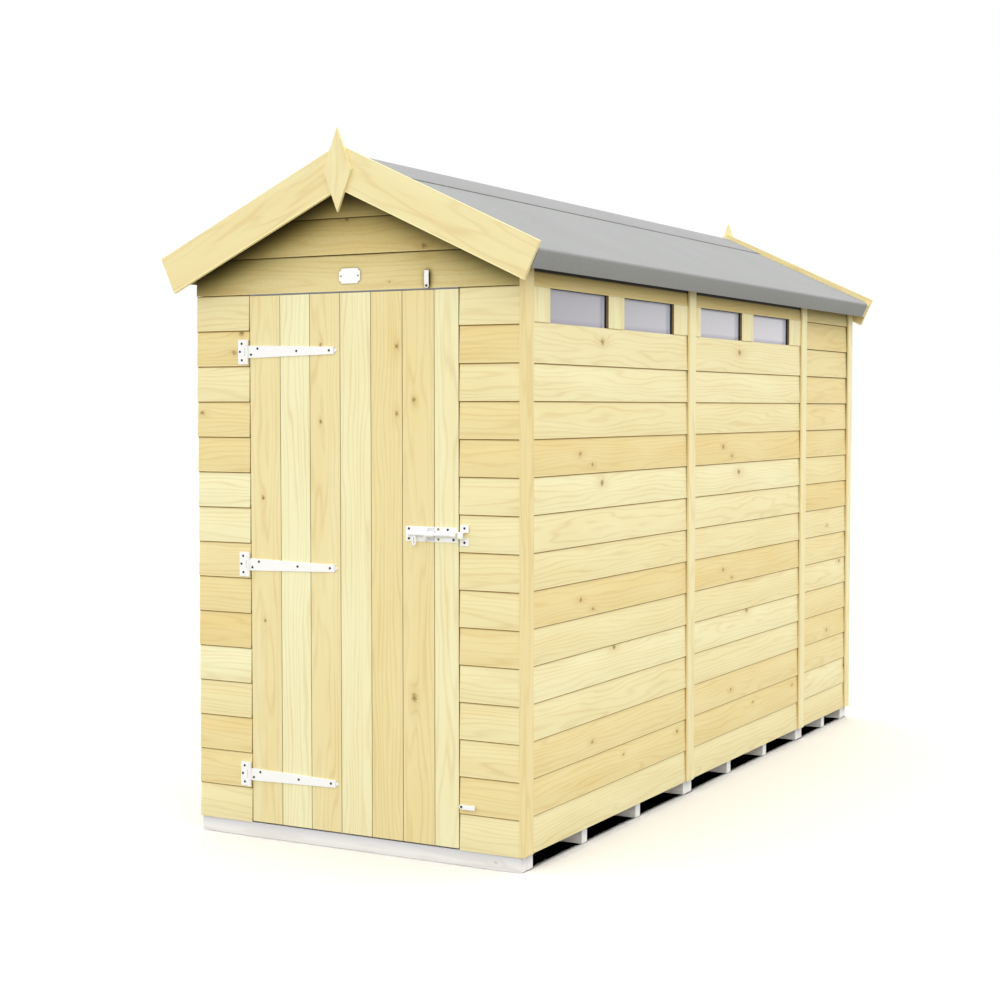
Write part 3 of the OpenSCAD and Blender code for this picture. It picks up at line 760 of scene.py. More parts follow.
    def knots(self, tree: Tree, grain: Feed) -> tuple[Feed, Feed, Feed]:
        """Draws both knots of a board.

        With q the distance from a knot in its radii, shortened along the grain, the rings move by the knot's
        push times exp(-q^2), the halo is exp(-q^2) and the core fills the knot's own circle, whose edge a
        noise blurs.

        Args:
            tree: The node tree.
            grain: The point in its board.

        Returns:
            Sums over the knots of the ring bend, the halo and the core.
        """
        sums = [0.0, 0.0, 0.0]
        blot = add(tree, "TexNoise", {"Vector": grain, "Scale": 1 / (BLOT_MM * MM), "Detail": 1.0})
        for name in ("knot_a", "knot_b") if self.placed else ():
            knot = add(tree, "Attribute", attribute_name=name).outputs["Vector"]
            size = add(tree, "SeparateXYZ", {0: knot}).outputs[2]
            offset = add(tree, "VectorMath", {0: grain, 1: knot}, operation="SUBTRACT")
            flat, long = (
                add(tree, "VectorMath", {0: offset, 1: shares}, operation="MULTIPLY")
                for shares in (KNOT_CORE, KNOT_HALO))
            near, far = (
                add(tree, "VectorMath", {0: vector}, operation="LENGTH").outputs["Value"]
                for vector in (flat, long))
            near, far = (
                add(tree, "Math", {0: distance, 1: size}, operation="DIVIDE") for distance in (near, far))
            near = add(tree, "Math", {0: blot, 1: KNOT_BLUR, 2: near}, operation="MULTIPLY_ADD")
            core = add(tree, "MapRange", {"Value": near, "From Min": 1.9, "From Max": 1.0, "To Max": 0.8})
            far = add(tree, "Math", {0: far, 1: far}, operation="MULTIPLY")
            far = add(tree, "Math", {0: far, 1: -1.0}, operation="MULTIPLY")
            halo = add(tree, "Math", {0: far}, operation="EXPONENT")
            push = add(tree, "Math", {0: halo, 1: size}, operation="MULTIPLY")
            push = add(tree, "Math", {0: push, 1: KNOT_PUSH}, operation="MULTIPLY")
            sums = [
                add(tree, "Math", {0: part, 1: so_far}, operation="ADD")
                for part, so_far in zip((push, halo, core), sums)]
        return tuple(sums)


@dataclass(frozen=True)
class FeltFinish(Finish):
    """Mineral roofing felt: grey grit that scatters light evenly, a little mottled, over soft waves.

    Attributes:
        name: Name of the material.
        light: Colour of the lighter grit.
        dark: Colour of the darker grit.
        grit_mm: Size of the grit as drawn, several times the real one so that it shows.
        patch_mm: Size of the soft patches.
        grit_share: How much of the mottle is grit, the rest being patches.
    """

    name: str
    light: str
    dark: str
    grit_mm: float = 7.0
    patch_mm: float = 400.0
    grit_share: float = 0.7

    def surface(self, tree: Tree) -> Node:
        """Mixes two greys by grit and by soft patches.

        Args:
            tree: The node tree.

        Returns:
            The shader.
        """
        spot = add(tree, "TexCoord").outputs["Object"]
        grit = add(tree, "TexNoise", {"Vector": spot, "Scale": 1 / (self.grit_mm * MM), "Detail": 2.0})
        patch = add(tree, "TexNoise", {"Vector": spot, "Scale": 1 / (self.patch_mm * MM), "Detail": 1.0})
        mixed = add(tree, "Math", {0: grit, 1: self.grit_share}, operation="MULTIPLY")
        mixed = add(tree, "Math", {0: patch, 1: 1 - self.grit_share, 2: mixed}, operation="MULTIPLY_ADD")
        mixed = add(tree, "MapRange", {"Value": mixed, "From Min": 0.3, "From Max": 0.7})
        greys = {0: mixed, 6: linear(self.dark), 7: linear(self.light)}
        colour = add(tree, "Mix", greys, data_type="RGBA").outputs[2]
        bump = add(tree, "Bump", {"Height": grit, "Distance": 0.6 * MM, "Strength": 0.35})
        return add(tree, "BsdfPrincipled", {
            "Base Color": colour, "Roughness": 0.92, "Normal": bump, "Specular IOR Level": 0.15})


@dataclass(frozen=True)
class PaintFinish(Finish):
    """A coated or moulded surface of one colour, with a faint unevenness of its coat.

    Attributes:
        name: Name of the material.
        colour: Its colour.
        rough: Roughness.
        metallic: 1 for bare metal.
        wave_mm: Size of the coat's unevenness.
        wave_d_mm: Depth of that unevenness.
    """

    name: str
    colour: str
    rough: float
    metallic: float = 0.0
    wave_mm: float = 4.0
    wave_d_mm: float = 0.05

    def surface(self, tree: Tree) -> Node:
        """Lays one colour over a faintly uneven coat.

        Args:
            tree: The node tree.

        Returns:
            The shader.
        """
        spot = add(tree, "TexCoord").outputs["Object"]
        wave = add(tree, "TexNoise", {"Vector": spot, "Scale": 1 / (self.wave_mm * MM), "Detail": 1.0})
        bump = add(tree, "Bump", {"Height": wave, "Distance": self.wave_d_mm * MM, "Strength": 0.3})
        return add(tree, "BsdfPrincipled", {
            "Base Color": linear(self.colour), "Roughness": self.rough, "Metallic": self.metallic,
            "Normal": bump})


@dataclass(frozen=True)
class AcrylicFinish(Finish):
    """Cast acrylic glazing: a smooth, faintly lilac sheet that mirrors the sky, most where it is seen flat.

    Its colour is painted: the dark shed seen through it, and a painted sky reflection where it is seen flat.
    Painted bands of light and shade run in from its edges, by shares of the sheet's width and height.

    Attributes:
        name: Name of the material.
        body: Colour of the dark shed seen through the sheet, painted.
        painted_sky: Colour of the painted sky reflection at a flat angle.
        painted_sky_span: Facing values at which the painted reflection starts and is full.
        painted_band_share: How much of a painted band's colour shows.
        painted_bands: Colour, axis, and the shares at which each painted edge band starts and is full.
    """

    name: str
    body: str
    painted_sky: str
    painted_sky_span: Pair = (0.5, 0.72)
    painted_band_share: float = 0.8
    painted_bands: tuple[tuple[str, int, float, float], ...] = (
        ("#A6A4CC", 1, 0.05, 0.0), ("#9593AE", 2, 0.2, 0.0), ("#DFE2F2", 2, 0.93, 0.97),
        ("#D4D9EE", 1, 0.95, 0.97))

    def surface(self, tree: Tree) -> Node:
        """Mixes the body colour with the painted sky reflection by the angle of view, and lays the painted
        bands over it.

        Args:
            tree: The node tree.

        Returns:
            The shader.
        """
        start, full = self.painted_sky_span
        # Painted sky reflection, stronger where the sheet is seen flat
        flat = add(tree, "LayerWeight", {"Blend": 0.5}).outputs["Facing"]
        amount = add(tree, "MapRange", {"Value": flat, "From Min": start, "From Max": full})
        tints = {0: amount, 6: linear(self.body), 7: linear(self.painted_sky)}
        colour = add(tree, "Mix", tints, data_type="RGBA").outputs[2]
        share = add(tree, "Attribute", attribute_name="share").outputs["Vector"]
        share = add(tree, "SeparateXYZ", {0: share}).outputs
        # Painted bands of light and shade along the edges
        for paint, axis, start, end in self.painted_bands:
            band = {"Value": share[axis], "From Min": start, "From Max": end, "To Max": self.painted_band_share}
            band = add(tree, "MapRange", band, interpolation_type="SMOOTHSTEP")
            colour = add(tree, "Mix", {0: band, 6: colour, 7: linear(paint)}, data_type="RGBA").outputs[2]
        return add(tree, "BsdfPrincipled", {"Base Color": colour, "Roughness": 0.12, "IOR": 1.49})


# Planed boards shine a little and show soft rings.
PLANED_PINE = PineFinish(
    "planed pine", pale="#F5F0C3", tan="#E6CA80", line="#C8A258", knot="#85642F", ring_mm=13.0,
    line_strength=0.36, rough=0.62, bump_mm=0.3)
# Wall boards get a painted highlight on their lower edge, and painted shade along their top under the lip
# above.
LAP_PINE = replace(PLANED_PINE, name="planed pine lap boards", edge_highlight=0.5, top_shade="#96722F")
# The board under a window has no lip above it, so its top gets no painted shade.
SILL_PINE = replace(LAP_PINE, name="planed pine sill boards", top_shade="")
# Boards up under the eaves get painted shade near other wood.
EAVES_PINE = replace(LAP_PINE, name="planed pine eaves boards", shade="#241E0A")
# Gable boards get a deeper, darker painted shade near the barge boards and the roof.
GABLE_PINE = replace(
    EAVES_PINE, name="planed pine gable boards", shade="#120E04", shade_reach=0.38, shade_power=2.6)
# The boards over the windows get a black painted shadow along their top under the roof, over the painted
# corner shade.
HEAD_PINE = replace(
    EAVES_PINE, name="planed pine window heads", top_shade="#020100", top_shade_span=(41 * MM, 46 * MM),
    shade_reach=0.3, shade_power=0.75)
# Cover strips are planed on the face, and their sides get a tan painted shade.
STRIP_PINE = replace(PLANED_PINE, name="planed pine strips", side="#F0DCA8", side_shade_span=(6.5 * MM, -MM))
# Barge boards get a painted highlight on their lower edge too.
BARGE_PINE = replace(
    PLANED_PINE, name="planed pine barge boards", edge_highlight=1.0,
    edge_highlight_span=(BARGE_FOOT + 6 * MM, BARGE_FOOT + 2.5 * MM))
# Door planks get a brown painted shade on their edges, down in the joints.
DOOR_PINE = replace(
    PLANED_PINE, name="planed pine door planks", side="#80622C", side_shade_span=(-1.7 * MM, -12.5 * MM))
# Sawn timber is furred by the saw, so its rings are faint.
SAWN_PINE = PineFinish(
    "sawn pine", pale="#EBDDAA", tan="#DEC48A", line="#BF9C5E", knot="#7A5A2E", ring_mm=8.0,
    line_strength=0.5, rough=0.8, bump_mm=0.5)
# Rails under the eaves get a deep painted shade near other wood, nearly black where they never see the sky.
RAIL_PINE = replace(SAWN_PINE, name="sawn pine rails", placed=False, shade="#0A0803", shade_power=3.0)
# Window jambs are dark brown bars of painted shade over the posts' sides in the reveals.
JAMB_SHADE_PINE = replace(SAWN_PINE, name="sawn pine jambs in painted shade", pale="#8C7750", tan="#7C6742", placed=False)
# Pale sawn softwood has dried to a cool off-white; a grey painted shadow runs along the bearers' tops under
# the floor.
BEARER_WOOD = PineFinish(
    "bleached softwood", pale="#F8F6F2", tan="#EEEAE4", line="#CFC8BE", knot="#B5ABA0", ring_mm=14.0,
    line_strength=0.45, rough=0.85, bump_mm=0.4, top_shade="#CFCFD3", top_shade_span=(16 * MM, 46 * MM))
# Mineral felt is matt grit on a soft bitumen sheet.
ROOFING_FELT = FeltFinish("mineral roofing felt", "#9FA09F", "#949594")
# Stove enamel on pressed steel is white, even and half glossy.
ENAMEL = PaintFinish("white enamelled steel", "#F8F8F6", 0.35)
# A cool light grey is painted shade beside the hinge knuckles and on the bolt guide's flanks.
GREY_SHADE = PaintFinish("grey enamel in painted shade", "#D6D6DB", 0.4)
# Blackened steel screws take the light only on their rims.
SCREW_STEEL = PaintFinish("blackened steel", "#141312", 0.45)
# Brass screws are warm bare metal.
BRASS = PaintFinish("brass", "#8F7F1E", 0.4, 0.6)
# The seal is soft black rubber; lining the reveals deep and black, it also stands in for their shade as
# painted shade.
RUBBER = PaintFinish("black rubber", "#16151A", 0.6)
# The draught strip is cool grey vinyl.
GREY_VINYL = PaintFinish("grey vinyl", "#82838C", 0.5)
# Acrylic is clear; its lilac grey is painted: the dark shed seen through it, with a painted sky reflection.
ACRYLIC = AcrylicFinish("cast acrylic", "#9A98A4", "#E8E7EC")
# The number plate is moulded, so it is smooth and white.
WHITE_ABS = PaintFinish("moulded white ABS", "#FDFDFD", 0.4)


# Sub-assemblies

FRONT_LOW, FRONT_HIGH = (np.array(corner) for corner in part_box("front_left_wall"))
LAP = (FRONT_HIGH[2] - FRONT_LOW[2]) / FRONT_COURSES
FOOT_Z = FRONT_LOW[2]
FRONT_Y = FRONT_LOW[1]
ROOF_LOW, ROOF_HIGH = (np.array(corner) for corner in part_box("right_roof"))
RIDGE_Z = ROOF_HIGH[2] - ROOF_T / math.cos(ROOF_PITCH)
SLOPE_L = (ROOF_HIGH[0] - ROOF_T * math.sin(ROOF_PITCH)) / math.cos(ROOF_PITCH)
# Local numbers of a flat plate on the front: out from the wall, then x, then z
PLATE = Place((0.0, FRONT_Y, 0.0), BACK_Y, X, Z)
# Local numbers of a bar across the front: x, then z, then out from the wall
CROSSBAR = Place((0.0, FRONT_Y, 0.0), X, Z, BACK_Y)


def slope_place(side: Side) -> Place:
    """Directions of a roof slope from the middle of the ridge: level, down the slope, and out from it."""
    sign, c, s = side.value, math.cos(ROOF_PITCH), math.sin(ROOF_PITCH)
    return Place((0.0, 0.0, RIDGE_Z), (0, -sign, 0), (sign * c, 0, -s), (sign * s, 0, c))


def level_span(side: Side, low: float | Array, high: float | Array) -> tuple:
    """Where a stretch of y starts and ends along a slope's level direction."""
    return (-high, -low) if side is Side.RIGHT else (low, high)


def ridge_cut(n: float) -> float:
    """Distance down the slope at which a line n out from the boards' underside meets the ridge plane."""
    return -n * math.tan(ROOF_PITCH)


class Assembly:
    """A part of the shed that is made in one go."""

    def build(self, stock: Stock) -> list[Piece]:
        """Makes its pieces from the stock."""
        raise NotImplementedError


@dataclass
class Base(Assembly):
    """Bearers and floor.

    Attributes:
        ease: Eased edges of the sawn bearers.
        floor_board: Width of a floor board.
        floor_ease: Eased edges of a floor board.
        panels: The floor's nodes.
    """

    ease: float = 1.5 * MM
    floor_board: float = 114 * MM
    floor_ease: float = 1 * MM
    panels: tuple[str, ...] = ("front_floor", "middle_floor", "rear_floor")

    def build(self, stock: Stock) -> list[Piece]:
        """Makes the bearers and the floor boards.

        Args:
            stock: The stack of boards.

        Returns:
            The pieces.
        """
        bearers = Shape()
        for low, high in solids("bearers"):
            add_bar(bearers, low, high, self.ease, stock)
        floors = Shape()
        for node in self.panels:
            self.lay(floors, stock, *(np.array(corner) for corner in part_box(node)))
        return [
            bearers.piece("bearer_timbers", BEARER_WOOD, "shed", "bearers", "bearers"),
            floors.piece("floor_planks", PLANED_PINE, "shed", "floor_boards", *self.panels),
        ]

    def lay(self, shape: Shape, stock: Stock, low: Array, high: Array) -> None:
        """Lays boards along y over one floor panel.

        Args:
            shape: Their mesh.
            stock: The stack of boards.
            low: Lowest corner of the panel.
            high: Highest corner of the panel.
        """
        joints = np.linspace(low[0], high[0], round((high[0] - low[0]) / self.floor_board) + 1)
        for x0, x1 in zip(joints[:-1], joints[1:]):
            start, end = (x0 + HALF_JOINT, low[1], low[2]), (x1 - HALF_JOINT, high[1], high[2])
            add_bar(shape, start, end, self.floor_ease, stock, axis=1)


@dataclass
class LapPanel(Assembly):
    """A panel of overlap boards.

    Each board leans back from its lower edge, and its lip hangs over the top of the one below.

    Attributes:
        node: The panel's node.
        facing: The way that it faces.
        tones: Tones of its boards from the lowest up, or none for any.
        knots: Its named knots in millimetres: along from its start, up from its foot, radius.
        board_t: Thickness of a board.
        lip: Thickness of the lip along a board's lower edge.
        lip_cut: How much higher the lip's underside is at its back.
        tuck: How far a board goes up behind the next one's lip.
        tongue_gap: How far a board's top stays short of that.
        overrun: How far the boards run on past the node's start.
        finish: Finish of the boards.
        bare_top: Whether the top board has no lip above it.
        peak_gap: How far the top board of a gable stays below the ridge.
        most_lean: Most courses that a board may lean back by.
        sliver: Share of a course below which it is joined to the board under it.
    """

    node: str
    facing: Facing
    tones: tuple[float, ...] = ()
    knots: tuple[Triple, ...] = ()
    board_t: float = 10.4 * MM
    lip: float = 3.6 * MM
    lip_cut: float = 2.0 * MM
    tuck: float = 9 * MM
    tongue_gap: float = 0.5 * MM
    overrun: float = 0.0
    finish: PineFinish = LAP_PINE
    bare_top: bool = False
    peak_gap: float = 4 * MM
    most_lean: float = 1.08
    sliver: float = 0.15

    def build(self, stock: Stock) -> list[Piece]:
        """Makes the panel's boards.

        Args:
            stock: The stack of boards.

        Returns:
            The boards in one piece, and the bare top ones in another.
        """
        boards, top = Shape(), Shape()
        for low, high in solids(self.node):
            self.lay(boards, top if self.bare_top else boards, stock, low, high)
        made = [boards.piece(self.node + "_boards", self.finish, "shed", "wall_boards", self.node)]
        if self.bare_top:
            made.append(top.piece(self.node + "_top_board", SILL_PINE, "shed", "wall_boards"))
        return made

    def lay(self, boards: Shape, top_board: Shape, stock: Stock, low: Array, high: Array) -> None:
        """Lays the boards of one solid from its foot up.

        Args:
            boards: The mesh that they go into.
            top_board: The mesh that the top one goes into.
            stock: The stack of boards.
            low: Lowest corner of the solid.
            high: Highest corner of the solid.
        """
        ends = self.facing.place().local(np.array([low, high]))
        start, end = ends[:, 0].min() - self.overrun, ends[:, 0].max()
        foot = self.facing.place().moved(across=low[2], out=ends[:, 2].max())
        courses = math.ceil((high[2] - low[2]) / LAP - self.sliver)
        for course in range(courses):
            up, last = course * LAP, course == courses - 1
            top = high[2] - low[2] - up if last else LAP + self.tuck
            tone = self.tones[course] if course < len(self.tones) else None
            named = [(start + u * MM, v * MM - up, r * MM) for u, v, r in self.knots]
            wood = stock.pick(LAP, (start, end), tone, tuple(knot for knot in named if 0 <= knot[1] < LAP))
            shape = top_board if last else boards
            shape.add(self.board(top, low[2] + up, start, end), foot.moved(across=up), wood)

    def board(self, top: float, foot_z: float, start: float, end: float) -> Array:
        """Rings of a leaning board.

        Its face goes back by BOARD_LEAN in one course, and a gable board's ends follow the roof:
        |x| <= (ridge - z) / tan(pitch).

        Args:
            top: Height of the board.
            foot_z: Height of its lower edge in the frame.
            start: Where it starts along the wall.
            end: Where it ends.

        Returns:
            The board's rings.
        """
        if self.facing in (Facing.FRONT, Facing.REAR):
            top = min(top, RIDGE_Z - foot_z - self.peak_gap)
        back = BOARD_LEAN * min(self.most_lean, top / LAP)
        tongue = top - self.tongue_gap
        corners = [
            (0, 0), (self.lip_cut, -self.lip), (self.tuck, -self.lip), (self.tuck, -self.board_t),
            (tongue, -back - self.board_t), (tongue, -back)]
        outline = rounded(corners, EASED_EDGE)
        if self.facing in (Facing.RIGHT, Facing.LEFT):
            return prism(outline, start, end, CUT_EDGE)
        reach = (RIDGE_Z - LAYER_GAP - foot_z - outline[:, 0]) / math.tan(ROOF_PITCH)
        return prism(outline, np.maximum(start, -reach), np.minimum(end, reach), CUT_EDGE)


@dataclass
class Windows(Assembly):
    """Posts, panes, seals and jambs of the four fixed windows, the jambs in painted shade.

    Attributes:
        seal_t: Thickness of the seal round a pane.
        head_share: Share of that thickness that shows at the head.
        seal_back: How far the seal stays behind the face of the posts.
        jamb_d: Depth of the jamb, a bar of painted shade, in front of the seal.
        jamb_back: How far the jamb stays behind the face of the posts.
        jamb_proud: How much thicker the jamb is than the seal.
        post_tone: Tone of the posts.
    """

    seal_t: float = 1.6 * MM
    head_share: float = 0.4
    seal_back: float = 1.0 * MM
    jamb_d: float = 7 * MM
    jamb_back: float = 0.5 * MM
    jamb_proud: float = 0.2 * MM
    post_tone: float = 0.2

    def build(self, stock: Stock) -> list[Piece]:
        """Makes the posts, the panes, the seals and the jambs in painted shade.

        Args:
            stock: The stack of boards.

        Returns:
            The pieces.
        """
        posts, panes, seals, jambs = Shape(), Shape(), Shape(), Shape()
        for low, high in solids("window_posts"):
            add_bar(posts, low, high, WORN_EDGE, stock, self.post_tone, axis=2)
        face_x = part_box("window_posts")[1].x
        for low, high in solids("window_panes"):
            add_bar(panes, low, high, SOFT_EDGE)
            panes.fields.setdefault("share", []).append((panes.points[-1] - low) / (high - low))
            self.seal(seals, low, high, face_x)
            # A dark brown bar of painted shade over the post's side, in front of the seal
            jamb_y = high[1] - self.seal_t - self.jamb_proud
            jamb_low = (face_x - self.seal_back - self.jamb_d, jamb_y, low[2])
            add_bar(jambs, jamb_low, (face_x - self.jamb_back, high[1], high[2]), TRIM_EDGE)
        return [
            posts.piece("window_post_boards", PLANED_PINE, "shed", "wall_boards", "window_posts"),
            panes.piece("window_sheets", ACRYLIC, "shed", "glazing", "window_panes"),
            seals.piece("window_seals", RUBBER, "shed", "glazing"),
            jambs.piece("window_jamb_shades", JAMB_SHADE_PINE, "shed", "wall_boards"),
        ]

    def seal(self, shape: Shape, low: Array, high: Array, face_x: float) -> None:
        """Lines the two sides and the head of an opening in front of its pane, in black that is partly
        painted shade.

        Args:
            shape: Its mesh.
            low: Lowest corner of the pane.
            high: Highest corner of the pane.
            face_x: The face of the posts.
        """
        near = np.array([high[0], low[1], low[2]])
        far = np.array([face_x - self.seal_back, high[1], high[2]])
        for axis, at_far, share in ((1, False, 1.0), (1, True, 1.0), (2, True, self.head_share)):
            a, b = near.copy(), far.copy()
            if at_far:
                a[axis] = far[axis] - share * self.seal_t
            else:
                b[axis] = near[axis] + share * self.seal_t
            add_bar(shape, a, b, TRIM_EDGE)


@dataclass
class Timbers(Assembly):
    """Straight timbers of several nodes that share a look.

    Attributes:
        name: Name of the piece.
        nodes: The nodes that it stands for.
        finish: Finish of the timbers.
        slot: The record's material slot.
        body: The body that they ride on.
        tone: Tone of the timbers, or None for any.
    """

    name: str
    nodes: tuple[str, ...]
    finish: PineFinish
    slot: str
    body: str = "shed"
    tone: float | None = None

    def build(self, stock: Stock) -> list[Piece]:
        """Makes one bar for each solid of the nodes.

        Args:
            stock: The stack of boards.

        Returns:
            The timbers, in one piece.
        """
        shape = Shape()
        for node in self.nodes:
            for low, high in solids(node):
                add_bar(shape, low, high, WORN_EDGE, stock, self.tone)
        return [shape.piece(self.name, self.finish, self.body, self.slot, *self.nodes)]


@dataclass
class PlainNodes(Assembly):
    """Nodes whose solids already have their real shape, so that they only take a finish.

    Attributes:
        nodes: The nodes.
        finish: Their finish.
    """

    nodes: tuple[str, ...]
    finish: Finish

    def build(self, stock: Stock) -> list[Piece]:
        """Gives each node the finish.

        Args:
            stock: Not needed here.

        Returns:
            The nodes' own objects.
        """
        pieces = [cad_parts[node] for node in self.nodes]
        for piece in pieces:
            piece.data.materials.clear()
            piece.data.materials.append(self.finish.material())
        return pieces


@dataclass
class Roof(Assembly):
    """Roof boards, felt and ridge strip.

    Attributes:
        board_pitch: Width of a roof board.
        fold: How far the felt folds down over the eaves.
        fold_r: Roundness of the fold.
        fold_steps: Straight pieces of that round.
        cap_w: Width of the ridge strip on a slope.
        cap_top: Roundness of its top.
        corner_cut: How far the felt's rear corner at the eaves is cut back.
        corner_l: Length of that cut down the slope.
    """

    board_pitch: float = 114 * MM
    fold: float = 46 * MM
    fold_r: float = 10 * MM
    fold_steps: int = 5
    cap_w: float = 165 * MM
    cap_top: float = 5 * MM
    corner_cut: float = 40 * MM
    corner_l: float = 30 * MM

    def build(self, stock: Stock) -> list[Piece]:
        """Makes both slopes and the strip over the ridge.

        Args:
            stock: The stack of boards.

        Returns:
            The pieces.
        """
        made = []
        outline = self.felt_outline()
        cut = self.corner_cut * np.clip(1 - (SLOPE_L - outline[:, 0]) / self.corner_l, 0, 1)
        for side in Side:
            name = side.name.lower()
            boards, felt = Shape(), Shape()
            self.lay(boards, stock, side)
            start, end = level_span(side, ROOF_LOW[1], ROOF_HIGH[1] - cut)
            felt.add(prism(outline, start, end, CUT_EDGE), slope_place(side))
            made += [
                boards.piece(f"{name}_roof_planks", PLANED_PINE, "shed", "roof_boards", f"{name}_roof"),
                felt.piece(f"{name}_felt_sheet", ROOFING_FELT, "shed", "roofing_felt", f"{name}_felt"),
            ]
        cap = Shape()
        along = Place((0.0, 0.0, RIDGE_Z), BACK_Y, X, Z)
        cap.add(prism(self.cap_outline(), -ROOF_HIGH[1], -ROOF_LOW[1], SHEET_EDGE), along)
        return made + [cap.piece("ridge_strip", ROOFING_FELT, "shed", "roofing_felt", "ridge_cap")]

    def lay(self, shape: Shape, stock: Stock, side: Side) -> None:
        """Lays boards down one slope, cut plumb at the ridge.

        Args:
            shape: Their mesh.
            stock: The stack of boards.
            side: The slope.
        """
        corners = [(0, 0), (SLOPE_L, 0), (SLOPE_L, ROOF_T), (ridge_cut(ROOF_T), ROOF_T)]
        outline = rounded(corners, EASED_EDGE)
        start, end = level_span(side, ROOF_LOW[1], ROOF_HIGH[1])
        joints = np.linspace(start, end, round((end - start) / self.board_pitch) + 1)
        for a, b in zip(joints[:-1], joints[1:]):
            wood = stock.pick(b - a, (0, SLOPE_L))
            rings = prism(outline, a + HALF_JOINT, b - HALF_JOINT, SOFT_EDGE)
            shape.add(rings, slope_place(side), wood, Grain.DOWN)

    def felt_outline(self) -> Array:
        """Draws the section of a felt sheet: down the slope, round the fold and down over the eaves.

        Returns:
            Points down the slope and out from it.
        """
        foot, inner = FELT_N - FELT_T, SLOPE_L + LAYER_GAP
        outer, bend = inner + FELT_T, SLOPE_L - self.corner_l
        corners = [
            (ridge_cut(foot), foot), (bend, foot), (inner, foot), (inner, -self.fold), (outer, -self.fold),
            (outer, FELT_N), (bend, FELT_N), (ridge_cut(FELT_N), FELT_N)]
        lip = EASED_EDGE
        return rounded(corners, [SHEET_EDGE, MM, MM, lip, lip, self.fold_r, MM, SHEET_EDGE], self.fold_steps)

    def cap_outline(self) -> Array:
        """Draws the section of the ridge strip, a flat vee with a softened top.

        Returns:
            Points across the ridge and up from it.
        """
        c, s = math.cos(ROOF_PITCH), math.sin(ROOF_PITCH)
        low_n, high_n = FELT_N + LAYER_GAP, FELT_N + LAYER_GAP + FELT_T
        low_end, high_end = ((self.cap_w * c + n * s, n * c - self.cap_w * s) for n in (low_n, high_n))
        corners = [
            (0, low_n / c), low_end, high_end, (0, high_n / c), (-high_end[0], high_end[1]),
            (-low_end[0], low_end[1])]
        lip = EASED_EDGE
        return rounded(corners, [MM, lip, lip, self.cap_top, lip, lip])


@dataclass
class GableBoards(Assembly):
    """Barge boards and finials of both gables.

    Attributes:
        tones: Tone of the front right, front left, rear right and rear left board.
        finial_tone: Tone of the finials.
    """

    tones: tuple[float, ...] = (0.4, 0.5, 0.5, 0.35)
    finial_tone: float = 0.4

    def build(self, stock: Stock) -> list[Piece]:
        """Makes the four boards and the two finials.

        Args:
            stock: The stack of boards.

        Returns:
            The pieces.
        """
        ends = [(end, side) for end in ("front", "rear") for side in Side]
        made = [self.barge(stock, end, side, tone) for (end, side), tone in zip(ends, self.tones)]
        return made + [self.finial(stock, f"{end}_finial") for end in ("front", "rear")]

    def barge(self, stock: Stock, end: str, side: Side, tone: float) -> Piece:
        """Makes a barge board: a strip of the slope, cut plumb at the ridge and square at its foot.

        Args:
            stock: The stack of boards.
            end: The gable that it is on.
            side: Its slope.
            tone: Its tone.

        Returns:
            The piece.
        """
        node = f"{end}_{side.name.lower()}_barge"
        low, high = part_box(node)
        foot, top = BARGE_FOOT, BARGE_FOOT + BARGE_DEPTH
        corners = [(ridge_cut(foot), foot), (SLOPE_L, foot), (SLOPE_L, top), (ridge_cut(top), top)]
        shape = Shape()
        wood = stock.pick(BARGE_DEPTH, (0, SLOPE_L), tone)
        rings = prism(rounded(corners, WORN_EDGE), *level_span(side, low.y, high.y), WORN_EDGE * END_EASE)
        shape.add(rings, slope_place(side), wood, Grain.ACROSS)
        return shape.piece(node + "_board", BARGE_PINE, "shed", "trim", node)

    def finial(self, stock: Stock, node: str) -> Piece:
        """Makes a finial: a tall diamond with its grain upright.

        Args:
            stock: The stack of boards.
            node: The finial's node.

        Returns:
            The piece.
        """
        low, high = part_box(node)
        middle = (low.z + high.z) / 2
        corners = [(0, low.z), (high.x, middle), (0, high.z), (low.x, middle)]
        outline = rounded(corners, [WORN_EDGE, EASED_EDGE] * 2)
        shape = Shape()
        wood = stock.pick(high.x - low.x, (low.z, high.z), self.finial_tone)
        rings = prism(outline, -high.y, -low.y, SHEET_EDGE)
        shape.add(rings, Place(ORIGIN, BACK_Y, X, Z), wood, Grain.OUT)
        return shape.piece(node + "_board", PLANED_PINE, "shed", "trim", node)


